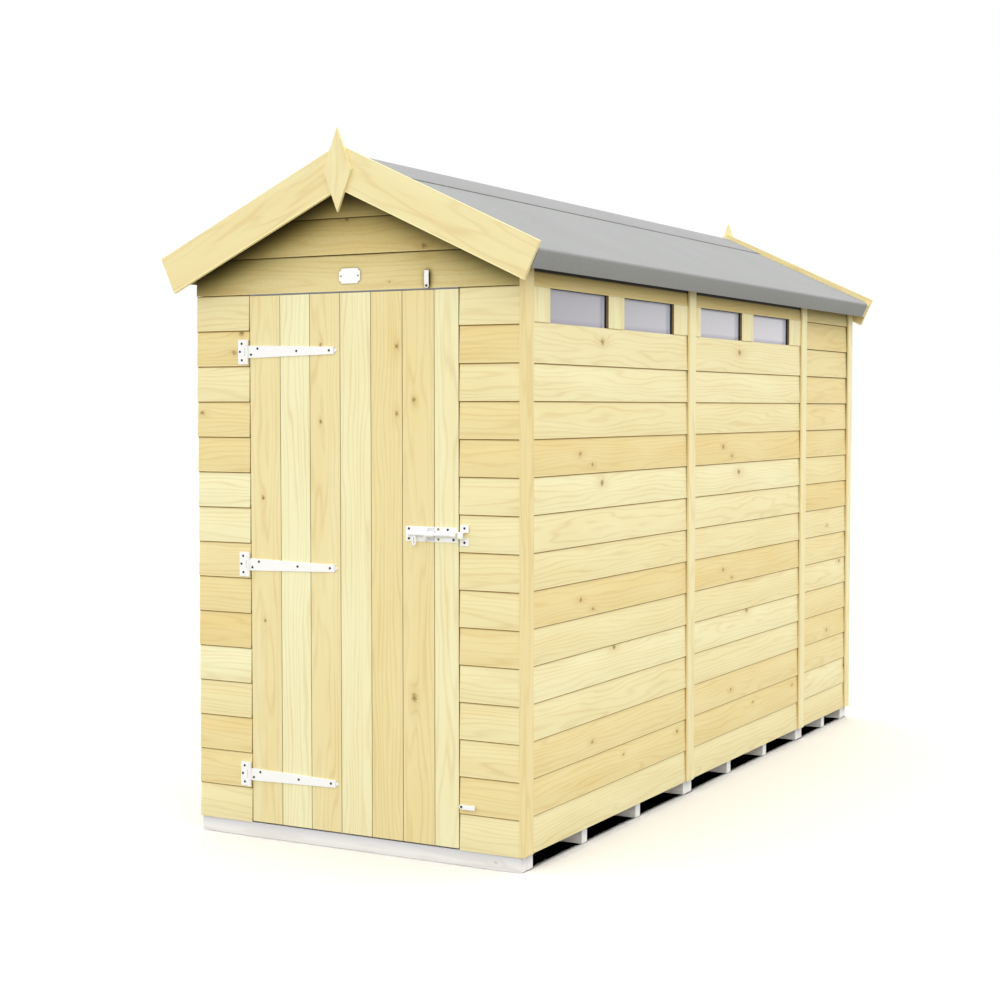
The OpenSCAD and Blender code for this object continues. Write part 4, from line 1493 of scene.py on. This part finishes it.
@dataclass
class Door(Assembly):
    """Planks, ledges and draught strip of the door.

    Attributes:
        plank_pitch: Width of a plank.
        sliver: Share of a plank below which it is joined to the one before it.
        joint: Width of the open groove at a joint.
        tongue_gap: How far the tongue stays from the plank beside it.
        groove_d: Depth of the groove.
        first_wide: How much wider the first plank is than the others.
        strip_h: Height of the draught strip over the door.
        strip_d: Depth of the draught strip.
        tones: Tones of the planks from the hinges on.
        knots: Its named knots in millimetres: x, up from the shed's foot, radius.
    """

    plank_pitch: float = 113 * MM
    sliver: float = 0.2
    joint: float = 2.2 * MM
    tongue_gap: float = 0.2 * MM
    groove_d: float = 6 * MM
    first_wide: float = 3 * MM
    strip_h: float = 4 * MM
    strip_d: float = 12 * MM
    tones: tuple[float, ...] = (0.45, 0.05, 0.45, 0.15, 0.55, 0.55, 0.15)
    knots: tuple[Triple, ...] = (
        (-339, 1051, 7), (-335, 659, 6), (-116, 1531, 7), (-116, 1294, 7), (162, 1524, 7), (162, 1320, 7),
        (223, 1361, 7), (223, 452, 12))

    def build(self, stock: Stock) -> list[Piece]:
        """Makes the planks, the draught strip and the ledges.

        Args:
            stock: The stack of boards.

        Returns:
            The pieces.
        """
        low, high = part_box("door_leaf")
        count = math.ceil((high.x - low.x) / self.plank_pitch - self.sliver)
        inner = [low.x + k * self.plank_pitch + self.first_wide for k in range(1, count)]
        joints = [low.x, *inner, high.x]
        planks = Shape()
        for k, tone in enumerate(self.tones[:count]):
            x0 = joints[k] + (k > 0) * self.joint / 2
            x1 = joints[k + 1] - (k < count - 1) * self.joint / 2
            tongue = (k > 0) * (self.joint - self.tongue_gap) + HAIR
            outline = self.plank_outline(x1 - x0, high.y - low.y, tongue)
            named = [(z * MM + FOOT_Z - low.z, x1 - x * MM, r * MM) for x, z, r in self.knots]
            knots = tuple(knot for knot in named if 0 < knot[1] < x1 - x0)
            wood = stock.pick(x1 - x0, (0, high.z - low.z), tone, knots)
            rings = prism(outline, 0, high.z - low.z, TRIM_EDGE)
            planks.add(rings, Place((x1, low.y, low.z), Z, BACK_X, BACK_Y), wood)
        ledges = Timbers("door_ledge_boards", ("door_ledges",), SAWN_PINE, "door_boards", "door")
        head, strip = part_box("front_gable")[0].z, Shape()
        strip_low, strip_high = (low.x, FRONT_Y, head - self.strip_h), (high.x, FRONT_Y + self.strip_d, head)
        add_bar(strip, strip_low, strip_high, SHEET_EDGE)
        return [
            planks.piece("door_planks", DOOR_PINE, "door", "door_boards", "door_leaf"),
            strip.piece("door_draught_strip", GREY_VINYL, "shed", "trim"),
            *ledges.build(stock),
        ]

    def plank_outline(self, width: float, thick: float, tongue: float) -> Array:
        """Draws the section of a plank: a rectangle with a tongue behind the groove on its far side.

        Args:
            width: Width of the plank's face.
            thick: Its thickness.
            tongue: How far the tongue reaches past the face.

        Returns:
            Points across the plank and out from its face.
        """
        corners = [
            (0, -thick), (width + tongue, -thick), (width + tongue, -self.groove_d),
            (width, -self.groove_d - HAIR), (width, 0), (0, 0)]
        radii = [CUT_EDGE, CUT_EDGE, SHARP_R, SHARP_R, EASED_EDGE, EASED_EDGE]
        return rounded(corners, radii, 2)


# Rings of a screw head: their radii in shares of the head's, and their heights over the plate
SCREW_SHARES = np.array([1, 1, 0.86, 0.5, 0.42])
SCREW_HEIGHTS = np.array([-0.3, 0.3, 0.8, 1.0, 0.2]) * MM
SCREW_SIDES = 16
# Rings from this one on are drawn in to the cross, by up to this share
CROSS_RING = 3
CROSS_CUT = 0.5


def add_screw(shape: Shape, x: float, z: float, out: float, radius: float = 4.0 * MM) -> None:
    """Adds a screw head to the front: a low dome with a cross cut into it, r (1 - cut |sin 2a|) wide.

    Args:
        shape: Its mesh.
        x: Its place across the front.
        z: Its height.
        out: How far the plate under it stands out from the wall.
        radius: Radius of the head.
    """
    rings = lathe(radius * SCREW_SHARES, SCREW_HEIGHTS, SCREW_SIDES)
    turn = np.linspace(0, 2 * math.pi, SCREW_SIDES, endpoint=False)
    rings[CROSS_RING:, :, 1:] *= (1 - CROSS_CUT * np.abs(np.sin(2 * turn)))[None, :, None]
    shape.add(rings, PLATE.moved(along=out, across=x, out=z))


@dataclass
class Hinges(Assembly):
    """Three tee hinges: plates on the wall, tapered straps on the door.

    Attributes:
        plate_t: Thickness of the pressed steel.
        plate_r: Round far corners of a plate.
        end_half: Half width of a strap's end.
        tip: Length of its arrow tip.
        notch: How far the tip is notched in from the end's corners.
        play: Gap between a plate and the strap's root.
        knuckle_shade: Width and half height of the painted shade strip by a plate's neck, and its distance
            from it.
        knuckle_shade_span: Where that strip starts and ends, over the plate's face.
        knuckle_shade_ease: Eased edges of the strip.
        plate_screws: Screws of a plate in millimetres from the pin: along, up.
        strap_screws: Screws of a strap, likewise.
    """

    plate_t: float = 3 * MM
    plate_r: float = 3 * MM
    end_half: float = 11.5 * MM
    tip: float = 9 * MM
    notch: float = 3 * MM
    play: float = 0.5 * MM
    knuckle_shade: Triple = (4 * MM, 13 * MM, 2 * MM)
    knuckle_shade_span: Pair = (-0.2 * MM, 0.5 * MM)
    knuckle_shade_ease: float = 0.2 * MM
    plate_screws: tuple[Pair, ...] = ((-22, 26.5), (-29, 1), (-21.5, -26))
    strap_screws: tuple[Pair, ...] = ((40, 10), (14.5, -8.5), (189.5, 0.6), (312, 0.6))

    def build(self, stock: Stock) -> list[Piece]:
        """Makes the plates, the straps, their screws, and grey strips of painted shade by the knuckles.

        Args:
            stock: Not needed here.

        Returns:
            The pieces.
        """
        plates, knuckle_shades, straps, wall_screws, door_screws = (Shape() for _ in range(5))
        for (low, high), (strap_low, strap_high) in zip(solids("hinge_plates"), solids("hinge_straps")):
            knuckle_r = high[0] - (high[0] + strap_low[0]) / 2
            pin = np.array([high[0] - knuckle_r, low[1] + knuckle_r, (low[2] + high[2]) / 2])
            half_plate, half_root = (high[2] - low[2]) / 2, (strap_high[2] - strap_low[2]) / 2
            neck = pin[0] - knuckle_r - self.play
            self.plate(plates, (low[0], neck), pin, (half_plate, half_root + self.play), knuckle_r)
            self.paint_knuckle_shade(knuckle_shades, neck, pin[2])
            self.strap(straps, strap_high[0], pin, half_root, knuckle_r)
            for screws, places in ((wall_screws, self.plate_screws), (door_screws, self.strap_screws)):
                for x, z in places:
                    add_screw(screws, pin[0] + x * MM, pin[2] + z * MM, self.plate_t)
        return [
            plates.piece("hinge_wall_plates", ENAMEL, "shed", "hardware", "hinge_plates"),
            knuckle_shades.piece("hinge_knuckle_shades", GREY_SHADE, "shed", "hardware"),
            straps.piece("hinge_door_straps", ENAMEL, "door", "hardware", "hinge_straps"),
            wall_screws.piece("hinge_plate_screws", SCREW_STEEL, "shed", "hardware"),
            door_screws.piece("hinge_strap_screws", SCREW_STEEL, "door", "hardware"),
        ]

    def plate(self, shape: Shape, span: Pair, pin: Array, heights: Pair, knuckle_r: float) -> None:
        """Adds a wall plate with a gap for the strap, and its two knuckles.

        Args:
            shape: Its mesh.
            span: The plate's far edge and its neck beside the gap, in x.
            pin: The pin's middle.
            heights: Half height of the plate and of the gap.
            knuckle_r: Radius of the knuckles.
        """
        (edge, neck), (half, gap) = span, heights
        corners = [
            (edge, -half), (pin[0], -half), (pin[0], -gap), (neck, -gap),
            (neck, gap), (pin[0], gap), (pin[0], half), (edge, half)]
        outline = rounded(corners, [self.plate_r, *[MM] * 6, self.plate_r]) + (0, pin[2])
        shape.add(prism(outline, 0, self.plate_t, CUT_EDGE), PLATE)
        for start, end in ((-half, -gap), (gap, half)):
            self.knuckle(shape, pin, start, end, knuckle_r)

    def paint_knuckle_shade(self, shape: Shape, neck: float, middle: float) -> None:
        """Adds a grey strip of painted shade beside a plate's neck, where the knuckle's shadow falls.

        Args:
            shape: Its mesh.
            neck: The plate's neck in x.
            middle: Height of the pin's middle.
        """
        width, half, gap = self.knuckle_shade
        low, high = (neck - gap - width, middle - half), (neck - gap, middle + half)
        start, end = (self.plate_t + height for height in self.knuckle_shade_span)
        shape.add(prism(box_outline(low, high, EASED_EDGE), start, end, self.knuckle_shade_ease), PLATE)

    def strap(self, shape: Shape, end_x: float, pin: Array, root: float, knuckle_r: float) -> None:
        """Adds a strap that narrows to a notched arrow tip, with its knuckle.

        Args:
            shape: Its mesh.
            end_x: The tip in x.
            pin: The pin's middle.
            root: Half height of the strap's root.
            knuckle_r: Radius of the knuckle.
        """
        end, half = end_x - self.tip, self.end_half
        lower = [(pin[0], -root), (end, -half), (end - self.notch / 2, self.notch - half), (end_x, 0)]
        corners = lower + [(x, -z) for x, z in lower[2::-1]]
        radii = [MM, SOFT_EDGE, CUT_EDGE, MM, CUT_EDGE, SOFT_EDGE, MM]
        outline = rounded(corners, radii) + (0, pin[2])
        shape.add(prism(outline, 0, self.plate_t, SHEET_EDGE), PLATE)
        self.knuckle(shape, pin, -root, root, knuckle_r)

    def knuckle(self, shape: Shape, pin: Array, start: float, end: float, radius: float) -> None:
        """Adds a rolled knuckle round the pin.

        Args:
            shape: Its mesh.
            pin: The pin's middle.
            start: Height of its foot from there.
            end: Height of its top from there.
            radius: Its radius.
        """
        ease = SOFT_EDGE
        rings = lathe([radius - ease, radius, radius, radius - ease], [start, start + ease, end - ease, end])
        shape.add(rings, Place(tuple(pin), Z, X, Y))


@dataclass
class PadBolt(Assembly):
    """Sliding bolt on the door and its keep on the wall.

    Attributes:
        plate_t: Thickness of the plate.
        plate_r: Round corners at the handle's end of the plate.
        guide_r: Round corners of the guides' sections.
        guide_ease: Eased ends of the guides.
        rod_r: Radius of the rod.
        rod_end: Rings of the rod's round ends, in its radii: radius, distance from the end.
        guide_span: Start and end of the long guide, from the plate's left end.
        cuff_l: Length of the short guide at the plate's right end.
        collar_l: Length of the collar at the left of the long guide.
        tail: Length of rod behind the handle.
        handle_half: Half width of the handle's loop.
        handle_sunk: How far the loop goes into the rod.
        wire_r: Radius of its wire.
        keep_loop: Length of the keep's loop.
        keep_t: Thickness of the keep.
        keep_play: Gap between the rod and the keep.
        foot_gap: Gap between the keep's loop and its feet.
        foot_r: Round corners of the feet.
        foot_screw: Distance of a foot's screw from its end.
        screws: Screws in millimetres from the plate's left end and the rod: along, up.
        brass_screws: Brass screws beside the guide, likewise.
    """

    plate_t: float = 2 * MM
    plate_r: float = 6 * MM
    guide_r: float = 1.1 * MM
    guide_ease: float = 0.7 * MM
    rod_r: float = 5.5 * MM
    rod_end: tuple[Pair, ...] = ((0.55, 0), (0.9, 0.12), (1, 0.5))
    guide_span: Pair = (73 * MM, 103 * MM)
    cuff_l: float = 16 * MM
    collar_l: float = 6 * MM
    tail: float = 12 * MM
    handle_half: float = 8 * MM
    handle_sunk: float = 2 * MM
    wire_r: float = 2.8 * MM
    keep_loop: float = 18 * MM
    keep_t: float = 2.6 * MM
    keep_play: float = 2.5 * MM
    foot_gap: float = 0.5 * MM
    foot_r: float = 2.5 * MM
    foot_screw: float = 10.5 * MM
    screws: tuple[Pair, ...] = ((12, 15.5), (12, -14.5), (149, 15.5), (169, -14.5))
    brass_screws: tuple[Pair, ...] = ((116, 16), (116, -14.5))

    def build(self, stock: Stock) -> list[Piece]:
        """Makes the plate with its guides, the rod with its handle, the keep and the screws.

        Args:
            stock: Not needed here.

        Returns:
            The pieces.
        """
        low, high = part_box("bolt_plate")
        rod_low, rod_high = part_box("bolt_rod")
        axis = CROSSBAR.moved(across=(low.z + high.z) / 2)
        rod_out = FRONT_Y - (rod_low.y + rod_high.y) / 2
        screws, brass, keep_screws = Shape(), Shape(), Shape()
        for shape, places in ((screws, self.screws), (brass, self.brass_screws)):
            for x, z in places:
                add_screw(shape, low.x + x * MM, (low.z + high.z) / 2 + z * MM, self.plate_t)
        keep_low, keep_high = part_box("bolt_keep")
        for z in (keep_low.z + self.foot_screw, keep_high.z - self.foot_screw):
            add_screw(keep_screws, (keep_low.x + keep_high.x) / 2, z, FRONT_Y - keep_high.y + self.keep_t)
        return [
            *self.plate(low, high, axis),
            self.rod(rod_low, rod_high, axis, rod_out),
            self.keep(keep_low, keep_high, axis),
            screws.piece("bolt_screws", SCREW_STEEL, "door", "hardware"),
            brass.piece("bolt_brass_screws", BRASS, "door", "hardware"),
            keep_screws.piece("bolt_keep_screws", SCREW_STEEL, "shed", "hardware"),
        ]

    def plate(self, low: Vector, high: Vector, axis: Place) -> list[Piece]:
        """Makes the plate, the long humped guide with its collar and its flanks in grey painted shade, and
        the short guide.

        A guide's section is half an outline, up from the plate and out from the rod, and its mirror image.

        Args:
            low: Its lowest corner.
            high: Its highest corner.
            axis: Directions at the rod's height.

        Returns:
            The pieces.
        """
        shape, flank_shade = Shape(), Shape()
        radii = [self.plate_r, WORN_EDGE, WORN_EDGE, self.plate_r]
        outline = box_outline((low.x, low.z), (high.x, high.z), radii)
        shape.add(prism(outline, 0, self.plate_t, CUT_EDGE), PLATE)
        half, top = (high.z - low.z) / 2, FRONT_Y - low.y
        start, end = (low.x + edge for edge in self.guide_span)
        flank = [(0.88 * half, MM), (0.84 * half, 3.4 * MM), (6 * MM, 5 * MM)]
        hump = [(8.8 * MM, MM), (8.8 * MM, 0.6 * top), (6 * MM, 0.9 * top), (3 * MM, top)]
        collar = [(0.98 * half, MM), (0.94 * half, 8 * MM), (9.5 * MM, 0.93 * top), (3.5 * MM, top)]
        # The long guide's flanks are a separate sheet of grey painted shade
        for target, side, a, b in (
            (flank_shade, flank, start + self.collar_l, end), (shape, hump, start + self.collar_l, end),
            (shape, collar, start, start + self.collar_l), (shape, hump, high.x - self.cuff_l, high.x),
        ):
            mirror = [(-z, out) for z, out in side]
            outline = rounded(mirror[:1] + side + mirror[:0:-1], self.guide_r)
            target.add(prism(outline, a, b, self.guide_ease), axis)
        return [
            shape.piece("bolt_back_plate", ENAMEL, "door", "hardware", "bolt_plate"),
            flank_shade.piece("bolt_flank_shade", GREY_SHADE, "door", "hardware"),
        ]

    def rod(self, low: Vector, high: Vector, axis: Place, out: float) -> Piece:
        """Makes the rod with round ends and its drop handle, a wire loop.

        Args:
            low: Its lowest corner.
            high: Its highest corner.
            axis: Directions at the rod's height.
            out: How far the rod's middle stands out from the wall.

        Returns:
            The piece.
        """
        shape = Shape()
        radii, steps = np.array(self.rod_end).T * self.rod_r
        heights = np.concatenate([steps, high.x - low.x - steps[::-1]])
        rings = lathe(np.concatenate([radii, radii[::-1]]), heights)
        shape.add(rings, axis.moved(along=low.x, out=out))
        drop = axis.origin[2] - low.z
        top = self.rod_r - self.handle_sunk
        handle = hoop(self.handle_half - self.wire_r, (drop - top) / 2 - self.wire_r, self.wire_r)
        middle = axis.moved(along=low.x + self.tail + self.handle_half, across=-(drop + top) / 2, out=out)
        shape.add(handle, middle, looped=True)
        return shape.piece("bolt_rod_and_loop", ENAMEL, "bolt", "hardware", "bolt_rod")

    def keep(self, low: Vector, high: Vector, axis: Place) -> Piece:
        """Makes the keep: two feet on the wall and a loop between them.

        Args:
            low: Its lowest corner.
            high: Its highest corner.
            axis: Directions at the rod's height.

        Returns:
            The piece.
        """
        shape = Shape()
        back, top = FRONT_Y - high.y, FRONT_Y - low.y
        inner = self.rod_r + self.keep_play
        outer, under = inner + self.keep_t, top - self.keep_t
        arch = [
            (-outer, back), (-inner, back), (-inner, under), (inner, under), (inner, back), (outer, back),
            (outer, top), (-outer, top)]
        radii = [0.5 * MM, 0.5 * MM, 1.5 * MM, 1.5 * MM, 0.5 * MM, 0.5 * MM, 4 * MM, 4 * MM]
        loop = prism(rounded(arch, radii, 4), low.x, low.x + self.keep_loop, SHEET_EDGE)
        shape.add(loop, axis)
        z, clear = axis.origin[2], inner + self.foot_gap
        for z0, z1 in ((low.z, z - clear), (z + clear, high.z)):
            outline = box_outline((low.x, z0), (high.x, z1), self.foot_r)
            shape.add(prism(outline, back, back + self.keep_t, CUT_EDGE), PLATE)
        return shape.piece("bolt_keep_loop", ENAMEL, "shed", "hardware", "bolt_keep")


@dataclass
class TurnButtons(Assembly):
    """Two turn buttons, each a bent bar that turns on a screw.

    Attributes:
        bend: How far the middle of the bar stands out from its ends.
        bend_span: Where the bend starts and ends, in shares of the bar's length.
        bend_l: Length of the step at either end of it, likewise.
        thick: Thickness of the bar.
        edge_r: Round edges of the bar, in shares of its section.
        screw_rise: Share of the bend by which the screw stands out.
        first_turn: Angle of the round end's first ring.
        end_rings: Rings of the round end.
        bar_rings: Rings of the rest.
        bar_start: Where these start, in radii of the round end.
    """

    bend: float = 1.2 * MM
    bend_span: Pair = (0.22, 0.86)
    bend_l: float = 0.08
    thick: float = 2.8 * MM
    edge_r: float = 0.12
    screw_rise: float = 0.3
    first_turn: float = 0.2
    end_rings: int = 8
    bar_rings: int = 24
    bar_start: float = 1.2

    def build(self, stock: Stock) -> list[Piece]:
        """Makes both buttons and their screws, and dresses the spacers under them.

        Args:
            stock: Not needed here.

        Returns:
            The pieces.
        """
        made = PlainNodes(("button_spacers",), ENAMEL).build(stock)
        for node, body, along, across in (
            ("top_button", "upper_turn", Z, X), ("lower_button", "lower_turn", X, Z),
        ):
            low, high = (np.array(corner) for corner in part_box(node))
            axis = along.index(1)
            width = (high - low)[across.index(1)]
            start = (low + high) / 2
            start[axis] = low[axis]
            start[1] = high[1]
            shape, screw = Shape(), Shape()
            shape.add(self.bar((high - low)[axis], width), Place(tuple(start), along, across, BACK_Y))
            pivot = start.copy()
            pivot[axis] += width / 2
            out = FRONT_Y - high[1] + self.thick + self.screw_rise * self.bend
            add_screw(screw, pivot[0], pivot[2], out)
            made += [
                shape.piece(node + "_bar", ENAMEL, body, "hardware", node),
                screw.piece(node + "_screw", SCREW_STEEL, body, "hardware"),
            ]
        return made

    def bar(self, length: float, width: float) -> Array:
        """Rings of a button.

        Its half width at s is sqrt(r^2 - (r - s)^2) up to its round end's radius r, and its middle stands out
        by the bend times a smooth step at either end.

        Args:
            length: Length of the bar.
            width: Width of the bar.

        Returns:
            Rings from the round end on.
        """
        r = width / 2
        turn = np.linspace(self.first_turn, math.pi / 2, self.end_rings)
        s = np.concatenate([r * (1 - np.cos(turn)), np.linspace(r * self.bar_start, length, self.bar_rings)])
        half = np.where(s < r, np.sqrt(np.maximum(r ** 2 - (r - s) ** 2, 0)), r)
        first, last = self.bend_span
        step = np.clip(np.minimum(s / length - first, last - s / length) / self.bend_l, 0, 1)
        lift = self.bend * step ** 2 * (3 - 2 * step)
        section = box_outline((-1, 0), (1, 1), self.edge_r)
        return np.dstack([
            np.broadcast_to(s[:, None], (len(s), len(section))), half[:, None] * section[None, :, 0],
            lift[:, None] + self.thick * section[None, :, 1]])


@dataclass
class NumberPlate(Assembly):
    """Bare number plate over the door, on the lowest leaning gable board.

    Attributes:
        width: Width of the plate.
        height: Height of the plate.
        thick: Thickness.
        scallop: Radius of its hollow corners.
        scallop_points: Points of a hollow corner.
        middle_x: Its middle across the front.
        rise: Height of its middle above the board's lower edge.
        screw_x: Distance of its screws from its middle.
        screw_r: Radius of their heads.
    """

    width: float = 78 * MM
    height: float = 47.5 * MM
    thick: float = 2.2 * MM
    scallop: float = 9 * MM
    scallop_points: int = 7
    middle_x: float = -7 * MM
    rise: float = 46.5 * MM
    screw_x: float = 31 * MM
    screw_r: float = 2.6 * MM

    def build(self, stock: Stock) -> list[Piece]:
        """Makes the plate and its two screws.

        Args:
            stock: Not needed here.

        Returns:
            The pieces.
        """
        lean = math.atan(BOARD_LEAN / LAP)
        middle_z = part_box("front_gable")[0].z + self.rise
        back = BOARD_LEAN * self.rise / LAP
        out, up = (0, -math.cos(lean), math.sin(lean)), (0, math.sin(lean), math.cos(lean))
        place = Place((self.middle_x, FRONT_Y + back, middle_z), out, X, up)
        plate, screws = Shape(), Shape()
        plate.add(prism(self.outline(), 0, self.thick, SOFT_EDGE), place)
        for x in (-self.screw_x, self.screw_x):
            add_screw(screws, self.middle_x + x, middle_z, self.thick - back, self.screw_r)
        return [
            plate.piece("number_plate", WHITE_ABS, "shed", "hardware"),
            screws.piece("number_plate_screws", SCREW_STEEL, "shed", "hardware"),
        ]

    def outline(self) -> Array:
        """Draws a rectangle with a hollow quarter circle, from angle a to a - 90 degrees, round each corner.

        Returns:
            Points across the plate and up it.
        """
        corner = np.array([(1, -1), (1, 1), (-1, 1), (-1, -1)]) * (self.width / 2, self.height / 2)
        quarter = np.linspace(0, 0.5, self.scallop_points)
        turn = math.pi * (1 + np.arange(4)[:, None] / 2 - quarter[None, :])
        arc = np.stack([np.cos(turn), np.sin(turn)], axis=-1)
        return (corner[:, None] + self.scallop * arc).reshape(-1, 2)


# Studio

@dataclass
class Studio:
    """Pale floor, soft light from all round, and the camera.

    Attributes:
        eye: The camera's place.
        turn: Its turn to the left of straight ahead, in degrees.
        tilt: Its tilt down, in degrees.
        lens: Focal length in millimetres.
        sensor: Width of the sensor in millimetres.
        floor_size: Half size of the floor.
        floor_seen: Colour of the floor as the camera sees it.
        floor_contact_shadow: Colour of the painted contact shadow right under the shed.
        floor_bounce: Colour that it throws back at the shed.
        contact: How near the shed has to be for the painted contact shadow on the floor.
        contact_span: Shares of open sky at which the painted contact shadow is darkest and is gone.
        sky: Light from the horizon.
        zenith: Light that is added overhead.
    """

    eye: Triple = (3.0498, -6.1969, 1.3810)
    turn: float = 28.54
    tilt: float = 2.923
    lens: float = 64.49
    sensor: float = 36.0
    floor_size: float = 60.0
    floor_seen: str = "#ECE9E4"
    floor_contact_shadow: str = "#000000"
    floor_bounce: str = "#96948E"
    contact: float = 0.3
    contact_span: Pair = (0.44, 0.5)
    sky: float = 1.4
    zenith: float = 0.4

    def build(self) -> None:
        """Makes the floor, the light and the camera."""
        self.floor()
        self.light()
        self.camera()

    def floor(self) -> None:
        """Makes the floor, white to the eye with a painted shadow under the shed, but darker to the light it
        throws back.
        """
        mesh = bpy.data.meshes.new("studio_floor")
        corners = np.array([(-1, -1, 0), (1, -1, 0), (1, 1, 0), (-1, 1, 0)]) * self.floor_size
        mesh.from_pydata(corners.tolist(), [], [[0, 1, 2, 3]])
        paint = bpy.data.materials.new("matt floor paint")
        paint.use_nodes = True
        tree = paint.node_tree
        tree.nodes.clear()
        # Painted contact shadow: black under the shed, where little open sky is near
        dark, clear = self.contact_span
        open_sky = add(tree, "AmbientOcclusion", {"Distance": self.contact}, samples=16).outputs["AO"]
        open_sky = add(tree, "MapRange", {"Value": open_sky, "From Min": dark, "From Max": clear})
        shades = {0: open_sky, 6: linear(self.floor_contact_shadow), 7: linear(self.floor_seen)}
        shown = add(tree, "Mix", shades, data_type="RGBA").outputs[2]
        lights = {0: self.seen(tree), 6: linear(self.floor_bounce), 7: shown}
        colour = add(tree, "Mix", lights, data_type="RGBA").outputs[2]
        add(tree, "OutputMaterial", {"Surface": add(tree, "BsdfDiffuse", {"Color": colour})})
        mesh.materials.append(paint)
        floor = bpy.data.objects.new("studio_floor", mesh)
        bpy.context.scene.collection.objects.link(floor)

    def seen(self, tree: Tree) -> Node:
        """Finds where the eye, a mirror or a clear sheet looks.

        Args:
            tree: The node tree.

        Returns:
            The node whose value is 1 there.
        """
        path = add(tree, "LightPath").outputs
        seen = add(tree, "Math", {0: path["Is Camera Ray"], 1: path["Is Glossy Ray"]}, operation="MAXIMUM")
        return add(tree, "Math", {0: seen, 1: path["Is Transmission Ray"]}, operation="MAXIMUM")

    def light(self) -> None:
        """Makes the sky: sky + zenith times the sine of the height, and plain white where it is seen."""
        world = bpy.data.worlds.new("soft studio light")
        world.use_nodes = True
        bpy.context.scene.world = world
        tree = world.node_tree
        tree.nodes.clear()
        up = add(tree, "SeparateXYZ", {0: add(tree, "TexCoord").outputs["Generated"]}).outputs[2]
        height = add(tree, "Math", {0: up, 1: 0.0}, operation="MAXIMUM")
        strength = add(tree, "Math", {0: height, 1: self.zenith, 2: self.sky}, operation="MULTIPLY_ADD")
        shown = add(tree, "Mix", {0: self.seen(tree), 2: strength, 3: 1.0}, data_type="FLOAT")
        white = {"Color": (1, 1, 1, 1), "Strength": shown}
        add(tree, "OutputWorld", {"Surface": add(tree, "Background", white)})

    def camera(self) -> None:
        """Makes the camera and looks through it."""
        lens = bpy.data.cameras.new("camera")
        lens.lens = self.lens
        lens.sensor_width = self.sensor
        camera = bpy.data.objects.new("camera", lens)
        camera.location = self.eye
        camera.rotation_euler = (math.radians(90 - self.tilt), 0, math.radians(self.turn))
        bpy.context.scene.collection.objects.link(camera)
        bpy.context.scene.camera = camera


# Tones of the walls' boards from the lowest up, and their knots in millimetres: along, up, radius
SIDE_TONES = (0.35, 0.65, 0.6, 0.35, 0.21, 0.4, 0.7, 0.4, 0.3, 0.2, 0.7, 0.4, 0.25, 0.31)
SIDE_KNOTS = (
    (487, 1547, 13), (486, 1096, 12), (324, 1192, 9), (411, 1157, 7), (330, 734, 9), (416, 698, 7),
    (583, 556, 11), (416, 271, 8), (657, 189, 6), (1113, 193, 7))
REAR_TONES = (
    0.4, 0.26, 0.52, 0.67, 0.57, 0.32, 0.52, 0.42, 0.77, 0.52, 0.67, 0.57, 0.67, 0.52, 0.7, 0.57)
REAR_KNOTS = ((517, 662, 10), (345, 374, 9), (596, 189, 9), (338, 831, 7))
LEFT_END_TONES = (0.35, 0.6, 0.65, 0.35, 0.05, 0.75, 0.6, 0.5, 0.15, 0.05, 0.65, 0.6, 0.3, 0.65, 0.4)
LEFT_END_KNOTS = ((177, 1576, 9), (148, 1514, 9), (19, 1321, 8))
RIGHT_END_TONES = (0.3, 0.6, 0.4, 0.35, 0.3, 0.6, 0.4, 0.4, 0.3, 0.3, 0.65, 0.6, 0.35, 0.7, 0.35)
GABLE_TONES = (0.6, 0.75, 0.75, 1.0)
GABLE_KNOTS = ((859, 128, 9), (579, 222, 7), (735, 23, 4))
HEAD_TONES = (0.8,)


def assemblies() -> list[Assembly]:
    """Lists the shed's sub-assemblies.

    Returns:
        The sub-assemblies in building order, which is also the order of the boards' draw.
    """
    windowed = [
        LapPanel(f"right_{part}_wall", Facing.RIGHT, SIDE_TONES, SIDE_KNOTS, bare_top=True)
        for part in ("front", "middle")]
    left = [
        LapPanel(f"left_{part}_wall", Facing.LEFT, finish=EAVES_PINE) for part in ("front", "middle", "rear")]
    rails = ("gable_rafters", "purlins", "eaves_rails", "door_braces")
    gable_frame = ("front_studs", "rear_studs", "gable_rails")
    side_frame = ("right_studs", "right_rails", "left_studs", "left_rails")
    return [
        Base(),
        LapPanel("front_left_wall", Facing.FRONT, LEFT_END_TONES, LEFT_END_KNOTS, overrun=2 * MM),
        LapPanel("front_right_wall", Facing.FRONT, RIGHT_END_TONES, overrun=2.5 * MM),
        LapPanel("front_gable", Facing.FRONT, GABLE_TONES, GABLE_KNOTS, overrun=2 * MM, finish=GABLE_PINE),
        *windowed,
        LapPanel("right_rear_wall", Facing.RIGHT, REAR_TONES, REAR_KNOTS, finish=EAVES_PINE),
        *left,
        LapPanel("rear_wall", Facing.REAR, finish=EAVES_PINE),
        LapPanel("window_heads", Facing.RIGHT, HEAD_TONES, finish=HEAD_PINE),
        Windows(),
        Timbers("corner_trim_boards", ("corner_trims",), PLANED_PINE, "trim", tone=0.58),
        Timbers("cover_strip_boards", ("cover_strips",), STRIP_PINE, "trim", tone=0.25),
        Timbers("gable_framing", gable_frame, SAWN_PINE, "framing"),
        Timbers("side_framing", side_frame, SAWN_PINE, "framing"),
        PlainNodes(rails, RAIL_PINE),
        Roof(),
        GableBoards(),
        Door(),
        Hinges(),
        PadBolt(),
        TurnButtons(),
        NumberPlate(),
    ]


def main() -> None:
    """Builds every sub-assembly, reports its pieces, and sets up the studio."""
    logging.basicConfig(level=logging.INFO, format="%(message)s")
    stock = Stock(seed=11)
    for assembly in assemblies():
        for piece in assembly.build(stock):
            LOG.info("%s: %s, %d faces", type(assembly).__name__, piece.name, len(piece.data.polygons))
    Studio().build()
    bpy.context.scene.view_settings.view_transform = "Standard"


if __name__ == "__main__":
    main()
